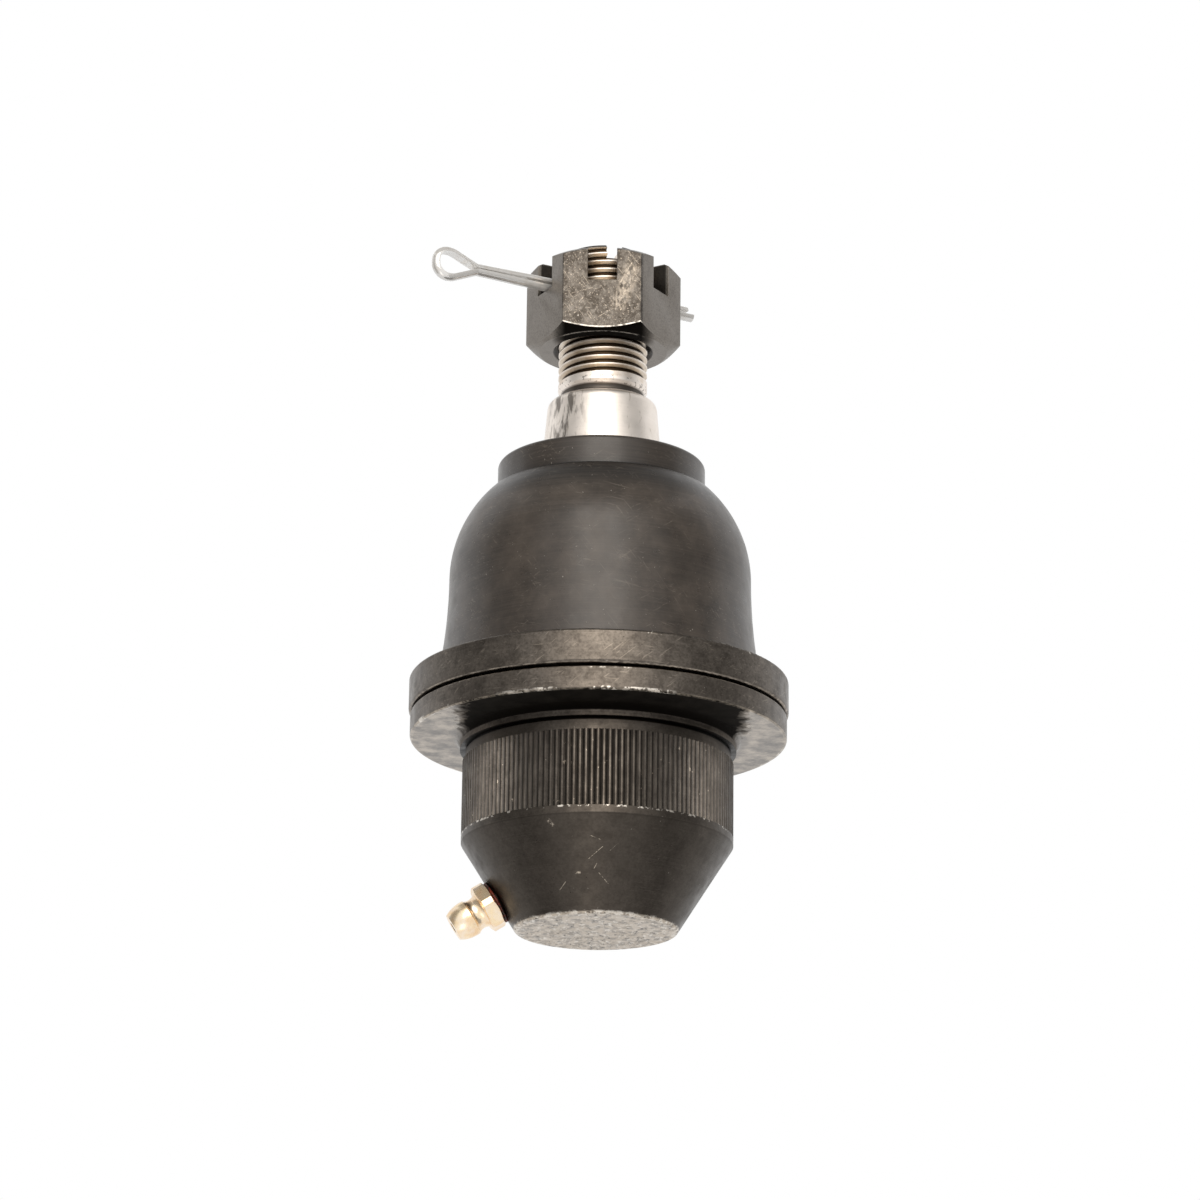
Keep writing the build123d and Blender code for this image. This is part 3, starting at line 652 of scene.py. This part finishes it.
def nut_steel(s, nut):
    """Plain cold-forged steel, barrel finished: dark brushed sides, a front flat scuffed by the spanner and
    a thin worn edge below. The front of the underside and the castle slots are painted near black as shade."""
    finish, place = new_finish("cold_forged_nut_steel")
    tree = finish.node_tree
    x, y, height, radius = split(place)
    brushed = patches(place, 0.3, 0.4, 0.7, (1, 1, 0.12), amount=0.35)
    grain = patches(place, 0.3, 0.45, 0.7, seed=9, amount=0.5)
    stains = patches(place, 2.8, 0.5, 0.68, seed=5, amount=0.4)
    face = inside(y, -12.6, -11.6, 0.1)
    dark_face = both(face, patches(place, 3.0, 0.25, 0.55, seed=33, amount=0.9))
    scuffs = both(face, patches(place, 0.55, 0.5, 0.64, (1, 1, 0.8), seed=3, amount=0.6))
    speckle = both(face, patches(place, 0.26, 0.6, 0.68, seed=12, amount=0.8))
    spanner = [
        both(face, strokes(place, turn, share, 0.35, seed))
        for turn, share, seed in ((35, 0.63, 51), (-40, 0.61, 52))
    ]
    chips = both(
        face, inside(height, 73.2, 78.5, 1.6),
        patches(place, 0.6, 0.66, 0.70, (1, 1, 1.4), seed=35, amount=0.85),
    )
    rubbed = both(
        face, scratch(place, (2.4, 76.2), (5.2, 84.4), 2.2),
        patches(place, 0.5, 0.42, 0.62, (1.2, 1, 0.5), seed=36, amount=0.6),
    )
    # the flats end below in arcs, where the chamfer's 30 degree cone cuts them
    above_cone = put(tree, "Math", {0: height, 1: -1 / SLOPE, 2: radius}, operation="MULTIPLY_ADD")
    arc = (nut.face - nut.bottom / SLOPE) / MM
    rim = both(
        inside(height, 72.3, 74.2, 0.1), inside(above_cone, arc - 0.5, arc - 0.06, 0.05),
        patches(place, 1.1, 0.42, 0.55, seed=8, amount=0.9),
    )
    front_rim = both(rim, inside(x, -7.2, 7.2, 0.3))
    # painted shade: the lower chamfer and bottom edge at the front are painted near black
    chamfer = both(inside(above_cone, arc - 0.1, arc + 1, 0.05), inside(height, 72, 76, 0.2))
    low = put(tree, "Math", {0: chamfer, 1: inside(height, 72.0, 72.33, 0.02)}, operation="MAXIMUM")
    under = both(low, inside(x, -8.0, 8.0, 1.2), inside(y, -15, -5, 1.5, 0.97))
    # painted shade in the castle slots and the top of the bore
    slots = both(inside(height, 81.6, 87.9, 0.03), inside(radius, 0, 11.7, 0.1, 0.8))
    bore = inside(radius, 6.9, 8.9, 0.1, 0.9)
    marks = scratches(place, face, 0.44, 0.56, (
        ((2.8, 81.0), (5.0, 85.0), 0.16, 31), ((-4.4, 77.3), (-3.6, 78.4), 0.1, 32),
        ((-6.0, 79.0), (-2.0, 80.2), 0.06, 34), ((-1.0, 74.6), (3.4, 77.2), 0.07, 37),
    ))
    base = layered(s.nut, (
        (s.oxide_pale, brushed), (s.oxide, stains), (s.deep_oxide_and_shade, dark_face, grain), (s.nut, scuffs),
        (s.cast, rubbed, spanner[0]), (s.deep_oxide_and_shade, spanner[1]), (s.cast, speckle), (s.grime_and_shade, under),
        (s.bare, chips), (s.nut, rim), (s.bare, front_rim), (s.grime_and_shade, slots), (s.deep_oxide_and_shade, bore),
        (s.cast, *marks),
    ))
    satin = put(tree, "MapRange", {0: scuffs, 3: 0.36, 4: 0.5})
    roughness = put(tree, "Mix", {0: under, 2: satin, 3: 1.0})
    return shade(finish, base, roughness, grain, 0.02)


def zinc_wire(s):
    """Drawn half-round wire with bright zinc: pale, with drawing lines and a few dull patches."""
    finish, place = new_finish("bright_zinc_wire")
    drawn = patches(place, 0.25, 0.4, 0.7, (0.1, 0.1, 1), amount=0.4)
    dull = patches(place, 1.5, 0.52, 0.68, seed=2, amount=0.5)
    base = layered(s.zinc, ((s.bare, dull), (s.bright, drawn)))
    return shade(finish, base, (dull, 0.16, 0.34), drawn, 0.01, metallic=0.45)


def yellow_zinc(s, outward, hexagon):
    """Turned steel with yellow-passivated zinc: cream and warm, peach in patches, with a few brown tool
    marks. Its shank is painted near black as shade, as far out along the axis as the hexagon's base."""
    finish, place = new_finish("yellow_passivated_zinc")
    tree = finish.node_tree
    tint = patches(place, 2.2, 0.42, 0.66, amount=0.55)
    pale = patches(place, 1.6, 0.45, 0.62, seed=3, amount=0.45)
    marks = patches(place, 0.35, 0.70, 0.75, (0.6, 0.6, 1), seed=6, amount=0.6)
    along = put(tree, "VectorMath", {0: place, 1: outward}, output="Value", operation="DOT_PRODUCT")
    # painted shade: the shank, in the gap under the hexagon, is painted near black
    shank = inside(along, 0, hexagon / MM, 0.05)
    base = layered(s.yellow_zinc, ((s.peach, tint), (s.bright, pale), (s.tint, marks), (s.grime_and_shade, shank)))
    return shade(finish, base, (tint, 0.22, 0.34), marks, 0.02)


def boot_rubber(s):
    """Moulded black chloroprene: satin, with the mould's fine rings, a warm grey bloom in patches, light
    specks of dust and a few scratches. A band of the crown under the collar and the crease below the collar
    are painted near black as shade."""
    finish, place = new_finish("moulded_black_rubber")
    tree = finish.node_tree
    _, _, height, radius = split(place)
    rings = patches(place, 0.32, 0.45, 0.72, (0.015, 0.015, 1), amount=0.25)
    bloom = both(inside(height, 5, 41, 2.5), patches(place, 5, 0.38, 0.7, amount=0.55))
    # painted shade: the top of the crown under the collar is painted near black
    crown = inside(height, 40.5, 45.1, 1.6, 0.75)
    mottle = patches(place, 0.9, 0.45, 0.68, seed=14, amount=0.3)
    dust = patches(place, 0.4, 0.72, 0.75, detail=2, seed=3, amount=0.6)
    handled = patches(place, 7, 0.4, 0.62, seed=13)
    lines = [
        both(handled, strokes(place, turn, share, 0.16, seed))
        for turn, share, seed in ((75, 0.62, 9), (-55, 0.64, 10), (35, 0.64, 11))
    ]
    # painted shade in the crease where the collar meets the crown
    corner = both(inside(height, 44.6, 45.5, 0.12), inside(radius, 10, 20.3, 0.1, 0.9))
    base = layered(s.rubber, (
        (s.rubber_dust, bloom), (s.deep_oxide_and_shade, mottle), (s.grime_and_shade, crown), (s.rubber_dust, rings),
        (s.cast, *lines), (s.grime_and_shade, corner), (s.bare, dust),
    ))
    relief = put(tree, "Math", {0: rings, 1: lines[0]}, operation="SUBTRACT")
    gloss = (patches(place, 3, 0.3, 0.7, seed=5), 0.26, 0.38)
    return shade(finish, base, gloss, relief, 0.02, metallic=0.0)


def sintered_iron(s):
    """Pressed and sintered iron, oil soaked: dark, matt and grainy."""
    finish, place = new_finish("oil_soaked_sintered_iron")
    grain = patches(place, 0.35, 0.35, 0.7, detail=6)
    oil = patches(place, 4, 0.4, 0.65, seed=2, amount=0.6)
    base = layered(s.bearing, ((s.deep_oxide_and_shade, grain), (s.oxide, oil)))
    return shade(finish, base, (oil, 0.55, 0.35), grain, 0.03, metallic=0.85)


def plain_steel(s):
    """Stamped and turned mild steel, lightly oiled: satin grey with fine circular lines."""
    finish, place = new_finish("oiled_mild_steel")
    tree = finish.node_tree
    _, _, height, radius = split(place)
    turned = put(tree, "CombineXYZ", {0: radius, 1: height})
    lines = put(tree, "TexNoise", {"Vector": turned, "Scale": 4.0, "Detail": 5.0}, noise_dimensions="3D")
    oil = patches(place, 3, 0.45, 0.65, amount=0.5)
    base = layered(s.nut, ((s.oxide_pale, oil),))
    return shade(finish, base, (oil, 0.42, 0.28), lines, 0.02)


def spring_steel(s):
    """Hardened and tempered steel: blue-grey, with straw-brown heat tint in patches."""
    finish, place = new_finish("tempered_spring_steel")
    heat = patches(place, 2.5, 0.42, 0.66, amount=0.6)
    fine = patches(place, 0.2, 0.4, 0.7, seed=3)
    base = layered(s.spring, ((s.tint, heat), (s.spring, fine)))
    return shade(finish, base, (heat, 0.3, 0.42), fine, 0.01)


def thread_sealant(s):
    """Cured red-brown thread sealant: waxy, lumpy and a little glossy."""
    finish, place = new_finish("cured_thread_sealant")
    lumps = patches(place, 1.6, 0.42, 0.56, amount=0.95)
    base = layered(s.sealant, ((s.grime_and_shade, lumps),))
    return shade(finish, base, 0.45, lumps, 0.1, metallic=0.0)


def studio_floor(s, fade_start, fade_end):
    """White opal board with a soft light of its own. It can be seen through from below and
    towards its rim, so that only the white room is behind the piece."""
    finish, place = new_finish("opal_studio_floor")
    tree = finish.node_tree
    radius = split(place)[3]
    grain = patches(place, 2, 0.3, 0.7, amount=0.02)
    base = layered(s.floor, ((s.bare, grain),))
    board = put(tree, "BsdfPrincipled", {
        "Base Color": base, "Roughness": 0.9, "Emission Color": base, "Emission Strength": s.floor_light,
    })
    clear = put(tree, "BsdfTransparent")
    below = put(tree, "NewGeometry", output="Backfacing")
    fade = {0: radius, 1: fade_start / MM, 2: fade_end / MM}
    rim = put(tree, "MapRange", fade, interpolation_type="SMOOTHSTEP")
    hidden = put(tree, "Math", {0: below, 1: rim}, operation="MAXIMUM")
    surface = put(tree, "MixShader", {0: hidden, 1: board, 2: clear})
    put(tree, "OutputMaterial", {"Surface": surface})
    return finish


def grey_card(s, light):
    """Grey card with an even, low light of its own."""
    finish, _ = new_finish("grey_card")
    tree = finish.node_tree
    glow = put(tree, "Emission", {"Color": opaque(s.floor), "Strength": light})
    put(tree, "OutputMaterial", {"Surface": glow})
    return finish


def paint_nodes(finish, *names):
    """Gives CAD nodes a finish in place of the imported one."""
    for name in names:
        node = frame["nodes"][name]
        node.data.materials.clear()
        node.data.materials.append(finish)


# ------------------------------------------------------------------ operators
class BALL_JOINT_OT_housing(Operator):
    """Finishes the housing and the steel ring at the boot's base"""
    bl_idname = "ball_joint.housing"
    bl_label = "Housing and boot ring"

    def execute(self, context):
        paint_nodes(oxide_steel(context.scene.ball_joint_finish), "housing", "boot_base_ring")
        return {"FINISHED"}


class BALL_JOINT_OT_inner_pieces(Operator):
    """Finishes the bearings and the rings and springs inside"""
    bl_idname = "ball_joint.inner_pieces"
    bl_label = "Inner pieces"

    def execute(self, context):
        s = context.scene.ball_joint_finish
        paint_nodes(sintered_iron(s), "upper_bearing", "lower_bearing")
        paint_nodes(
            plain_steel(s), "closing_ring", "pressure_plate", "boot_collar_insert", "grease_spring_retainer"
        )
        paint_nodes(spring_steel(s), "preload_washer", "grease_check_ball")
        return {"FINISHED"}


class BALL_JOINT_OT_grease_fitting(Operator):
    """Finishes the grease fitting and its sealant, and winds its check spring"""
    bl_idname = "ball_joint.grease_fitting"
    bl_label = "Grease fitting"

    def execute(self, context):
        s, finish = context.scene.ball_joint_fitting, context.scene.ball_joint_finish
        low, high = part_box("grease_check_ball")
        ball = (low + high) / 2
        outward = Vector((-cos(s.lean), 0, -sin(s.lean)))
        paint_nodes(yellow_zinc(finish, outward, ball.dot(outward) - s.hexagon), "grease_fitting")
        paint_nodes(thread_sealant(finish), "thread_sealant")

        facets = 12
        angles = [TURN * k / facets for k in range(facets)]
        section = [(s.coil + s.wire * cos(turn), s.wire * sin(turn)) for turn in angles]
        run = s.spring_start - s.spring_end
        spring = screw_round("wound_check_spring", section, 0, run, run / s.turns, 2 * facets)
        start, end = ball - s.spring_start * outward, ball - s.spring_end * outward
        spring.location = start
        spring.rotation_euler = outward.to_track_quat("Z", "Y").to_euler()
        finish_piece(spring, frame["nodes"]["grease_check_ball"].data.materials[0])
        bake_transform(spring)
        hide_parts("grease_check_spring")
        return {"FINISHED"}


class BALL_JOINT_OT_cotter_pin(Operator):
    """Finishes the cotter pin"""
    bl_idname = "ball_joint.cotter_pin"
    bl_label = "Cotter pin"

    def execute(self, context):
        paint_nodes(zinc_wire(context.scene.ball_joint_finish), "cotter_pin")
        return {"FINISHED"}


class BALL_JOINT_OT_stud(Operator):
    """Turns the ball stud, cuts its thread, cross hole and driver slot"""
    bl_idname = "ball_joint.stud"
    bl_label = "Ball stud"

    def execute(self, context):
        s, thread = context.scene.ball_joint_stud, context.scene.ball_joint_thread
        flat_height = s.centre - sqrt(s.ball**2 - s.flat**2)
        neck_start = s.centre + sqrt(s.ball**2 - s.neck**2)
        from_flat = atan2(flat_height - s.centre, s.flat)
        to_neck = atan2(neck_start - s.centre, s.neck)
        piece = draw_outline("threaded_ball_stud", [
            (0, flat_height), (s.flat, flat_height), (0, s.centre, to_neck - from_flat, 40),
            (s.neck, s.neck_end), (s.shank, s.shank_start), (s.shank, s.taper_start),
            (s.taper_small, s.taper_end), (s.shoulder, s.taper_end), (s.groove, s.groove_start),
            (s.groove, s.groove_end), (thread.crest, s.groove_end + thread.crest - s.groove),
            (thread.crest, s.top - s.end_chamfer), (thread.crest - s.end_chamfer, s.top), (0, s.top),
        ])
        swell = s.swell * tan(atan2(s.shank - s.neck, s.shank_start - s.neck_end) / 2)
        round_corners(piece, [
            (s.neck, neck_start, 1.2 * MM), (s.neck, s.neck_end, swell), (s.shank, s.shank_start, swell),
            (s.taper_small, s.taper_end, 1.4 * MM), (s.groove, s.groove_start, 0.3 * MM),
            (s.groove, s.groove_end, 0.3 * MM), (s.shank, s.taper_start, 0.2 * MM),
        ])
        spin_round(piece, ROUND)
        size = (3 * thread.crest, s.slot_width, 2 * s.slot_depth)
        cut(piece, bar("driver_slot", size, (0, 0, s.top), s.slot_turn - pi / 2))
        leave_edit_mode()
        pin = context.scene.ball_joint_nut.turn - 2.5 * HEX
        bpy.ops.mesh.primitive_cylinder_add(
            vertices=32, radius=s.hole, depth=4 * thread.crest, location=(0, 0, s.hole_height),
            rotation=(0, pi / 2, pin),
        )
        settle(bpy.context.object)
        cut(piece, bpy.context.object)
        # a metric thread's crests are an eighth of its pitch wide
        over = thread.crest + 0.1 * MM
        bottom = thread.pitch / 2 - thread.pitch / 16 - (thread.crest - thread.root) * SLOPE
        mouth = bottom + (over - thread.root) * SLOPE
        tool = screw_round(
            "thread_tool",
            [(thread.root, -bottom), (over, -mouth), (over, mouth), (thread.root, bottom)],
            s.thread_start, s.top + thread.pitch * 2, thread.pitch, thread.steps,
        )
        cut(piece, tool)
        finish_piece(piece, stud_steel(context.scene.ball_joint_finish))
        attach(piece, "stud")
        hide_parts("ball_stud")
        return {"FINISHED"}


class BALL_JOINT_OT_nut(Operator):
    """Forges the castle nut, cuts its slots and taps its thread"""
    bl_idname = "ball_joint.nut"
    bl_label = "Castle nut"

    def execute(self, context):
        s, thread = context.scene.ball_joint_nut, context.scene.ball_joint_thread
        corner = s.flats / 2 / cos(HEX / 2)
        top = s.bottom + s.height
        rise = (corner - s.face) * SLOPE
        leave_edit_mode()
        bpy.ops.mesh.primitive_cylinder_add(
            vertices=6, radius=corner, depth=s.height, location=(0, 0, s.bottom + s.height / 2),
            rotation=(0, 0, HEX / 2 + s.turn),
        )
        piece = added("tapped_castle_nut")
        settle(piece)
        blank = draw_outline("nut_blank", [
            (0, s.bottom), (s.face, s.bottom), (corner + rise, s.bottom + rise + rise * SLOPE),
            (corner + rise, top - rise - rise * SLOPE), (s.face, top), (0, top),
        ])
        cut(piece, spin_round(blank, TOOL_ROUND), "INTERSECT")
        size = (3 * corner, s.slot_width, 2 * s.slot_depth)
        for side in range(3):
            cut(piece, bar("castle_slot", size, (0, 0, top), pi / 2 + HEX * side + s.turn))
        modify(piece, "BEVEL", width=s.edge, segments=3, limit_method="ANGLE", angle_limit=radians(40))
        sink = thread.nut_root + s.countersink - thread.nut_crest
        over = 1 * MM
        bore = draw_outline("nut_bore", [
            (0, s.bottom - over), (thread.nut_crest + sink + over, s.bottom - over),
            (thread.nut_crest, s.bottom + sink), (thread.nut_crest, top - sink),
            (thread.nut_crest + sink + over, top + over), (0, top + over),
        ])
        cut(piece, spin_round(bore, TOOL_ROUND))
        inner = thread.nut_crest - 0.15 * MM
        tip = thread.pitch / 16
        base = tip + (thread.nut_root - inner) * SLOPE
        crest = context.scene.ball_joint_stud.thread_start + thread.pitch / 2
        first = crest + thread.pitch * (round((s.bottom - crest) / thread.pitch) - 2)
        tap = screw_round(
            "tap",
            [(inner, -base), (thread.nut_root, -tip), (thread.nut_root, tip), (inner, base)],
            first, top + thread.pitch * 2, thread.pitch, thread.steps,
        )
        cut(piece, tap)
        finish_piece(piece, nut_steel(context.scene.ball_joint_finish, s))
        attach(piece, "stud")
        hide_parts("castle_nut")
        return {"FINISHED"}


class BALL_JOINT_OT_boot(Operator):
    """Moulds the rubber boot, which sits between the housing's bearings and the stud"""
    bl_idname = "ball_joint.boot"
    bl_label = "Dust boot"

    def execute(self, context):
        s = context.scene.ball_joint_boot

        def arc(upright, other, steps, way=1):
            """An arc that stands upright at one point: it runs there from the other, or the other
            way if `way` is -1."""
            run, rise = other[0] - upright[0], other[1] - upright[1]
            centre = upright[0] + (run**2 + rise**2) / (2 * run)
            turn = atan2(0, upright[0] - centre) - atan2(rise, other[0] - centre)
            return (centre, upright[1], way * ((turn + pi) % TURN - pi), steps)

        waist, inner_waist = (s.waist, s.waist_height), (s.waist - s.wall, s.waist_height)
        shoulder, roof = (s.shoulder, s.shoulder_height), (s.roof, s.roof_height)
        foot, inner_foot = (s.foot, s.foot_top), (s.foot - s.wall, s.floor)
        piece = draw_outline("rubber_dust_boot", [
            inner_foot, (s.boss, s.floor), (s.boss, s.bead_bottom), (s.bead, s.bead_bottom),
            (s.bead, s.bead_top), (s.foot, s.bead_top), foot, arc(waist, foot, 20),
            arc(waist, shoulder, 24, -1), (s.collar, s.shoulder_height), (s.collar, s.collar_top),
            (s.grip, s.collar_top), (s.grip, s.insert_top), (s.insert, s.insert_top),
            (s.insert, s.insert_bottom), (s.grip, s.insert_bottom), (s.grip, s.roof_height), roof,
            arc(inner_waist, roof, 24), arc(inner_waist, inner_foot, 20, -1),
        ])
        round_corners(piece, [
            (s.collar, s.collar_top, 0.7 * MM), (*shoulder, 0.35 * MM),
            (s.collar, s.shoulder_height, 0.25 * MM), (s.grip, s.collar_top, 0.3 * MM),
            (s.bead, s.bead_top, 0.4 * MM), (s.bead, s.bead_bottom, 0.4 * MM),
        ])
        spin_round(piece, ROUND)
        finish_piece(piece, boot_rubber(context.scene.ball_joint_finish))
        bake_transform(piece)
        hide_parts("dust_boot")
        return {"FINISHED"}


class BALL_JOINT_OT_studio(Operator):
    """Sets up the floor, the white room, the lamps and the camera"""
    bl_idname = "ball_joint.studio"
    bl_label = "Studio"

    def execute(self, context):
        scene, s = context.scene, context.scene.ball_joint_studio
        below = cad_box[0][2] - s.floor_gap
        leave_edit_mode()
        bpy.ops.mesh.primitive_circle_add(
            vertices=TOOL_ROUND, radius=s.floor_radius, fill_type="NGON", location=(0, 0, below)
        )
        floor = added("studio_floor")
        bpy.ops.object.mode_set(mode="EDIT")
        bpy.ops.mesh.inset(thickness=s.floor_rim)
        leave_edit_mode()
        settle(floor)
        floor.data.materials.append(studio_floor(scene.ball_joint_finish, s.fade_start, s.fade_end))
        floor.visible_shadow = floor.visible_diffuse = floor.visible_glossy = False

        room = bpy.data.worlds.new("white_room")
        scene.world = room
        room.use_nodes = True
        tree = room.node_tree
        tree.nodes.clear()
        path = put(tree, "LightPath").node.outputs
        seen = path["Is Camera Ray"]
        for ray in ("Is Glossy Ray", "Is Transmission Ray"):
            seen = put(tree, "Math", {0: seen, 1: path[ray]}, operation="MAXIMUM")
        lit, white = (
            put(tree, "Background", {"Color": (1, 1, 1, 1), "Strength": light}) for light in (s.fill, 1)
        )
        put(tree, "OutputWorld", {"Surface": put(tree, "MixShader", {0: seen, 1: lit, 2: white})})

        def facing(place):
            """The turn that makes a lamp or a card look at the piece from there."""
            return (Vector((0, 0, s.target)) - Vector(place)).to_track_quat("-Z", "Y").to_euler()

        for name, place, size, power in (
            ("front_softbox", (0.0, -0.85, 0.42), (0.65, 0.8), s.front_power),
            ("top_softbox", (-0.2, -0.1, 0.95), (0.5, 0.5), s.top_power),
            ("low_softbox", (-0.1, -0.6, -0.7), (0.3, 0.5), s.low_power),
        ):
            bpy.ops.object.light_add(type="AREA", location=place)
            lamp = added(name)
            lamp.data.shape = "RECTANGLE"
            lamp.data.size, lamp.data.size_y = size
            lamp.data.energy = power
            lamp.data.color = s.warmth
            lamp.rotation_euler = facing(place)

        # grey cards that only the gloss shows, to darken the flanks and the crown
        side, front = s.card_distance * sin(s.card_bearing), -s.card_distance * cos(s.card_bearing)
        for name, place, size in (
            ("left_card", (-side, front, 0.03), (s.card_width, 1.3)),
            ("right_card", (side, front, 0.03), (s.card_width, 1.3)),
            ("high_card", (0, -0.05, 0.65), (0.9, 0.8)),
        ):
            bpy.ops.mesh.primitive_plane_add(size=1, location=place, rotation=facing(place))
            card = added(name)
            card.dimensions = (*size, 0)
            settle(card)
            card.data.materials.append(grey_card(scene.ball_joint_finish, s.card_light))
            card.visible_camera = card.visible_diffuse = False
            card.visible_shadow = card.visible_transmission = False

        bpy.ops.object.camera_add()
        camera = added("studio_camera")
        camera.data.lens = s.lens
        camera.data.sensor_width = 36
        camera.data.clip_start, camera.data.clip_end = 0.01, 10
        camera.location = (0, -s.distance * cos(s.pitch), -s.distance * sin(s.pitch))
        camera.rotation_euler = (
            Matrix.Rotation(pi / 2 + s.pitch + s.aim, 4, "X") @ Matrix.Rotation(s.roll, 4, "Z")
        ).to_euler()
        scene.camera = camera
        scene.view_settings.view_transform = "Standard"
        return {"FINISHED"}


OPERATORS = (
    BALL_JOINT_OT_housing, BALL_JOINT_OT_inner_pieces, BALL_JOINT_OT_stud, BALL_JOINT_OT_nut,
    BALL_JOINT_OT_cotter_pin, BALL_JOINT_OT_boot, BALL_JOINT_OT_grease_fitting, BALL_JOINT_OT_studio,
)


class BALL_JOINT_PT_panel(Panel):
    """Lists the pieces and their settings"""
    bl_idname = "BALL_JOINT_PT_panel"
    bl_label = "Ball Joint"
    bl_space_type = "VIEW_3D"
    bl_region_type = "UI"
    bl_category = "Ball Joint"

    def draw(self, context):
        for operator in OPERATORS:
            self.layout.operator(operator.bl_idname)
        for name, group in SETTINGS.items():
            box = self.layout.box()
            box.label(text=name.removeprefix("ball_joint_").capitalize())
            for field in group.__annotations__:
                box.prop(getattr(context.scene, name), field)


def register():
    for group in SETTINGS.values():
        bpy.utils.register_class(group)
    for name, group in SETTINGS.items():
        setattr(bpy.types.Scene, name, PointerProperty(type=group))
    for operator in OPERATORS:
        bpy.utils.register_class(operator)
    bpy.utils.register_class(BALL_JOINT_PT_panel)


def unregister():
    bpy.utils.unregister_class(BALL_JOINT_PT_panel)
    for operator in reversed(OPERATORS):
        bpy.utils.unregister_class(operator)
    for name, group in reversed(SETTINGS.items()):
        delattr(bpy.types.Scene, name)
        bpy.utils.unregister_class(group)


def main():
    register()
    for operator in OPERATORS:
        family, name = operator.bl_idname.split(".")
        if getattr(getattr(bpy.ops, family), name)() != {"FINISHED"}:
            raise RuntimeError(f"{operator.bl_label} did not finish")


if __name__ == "__main__":
    main()
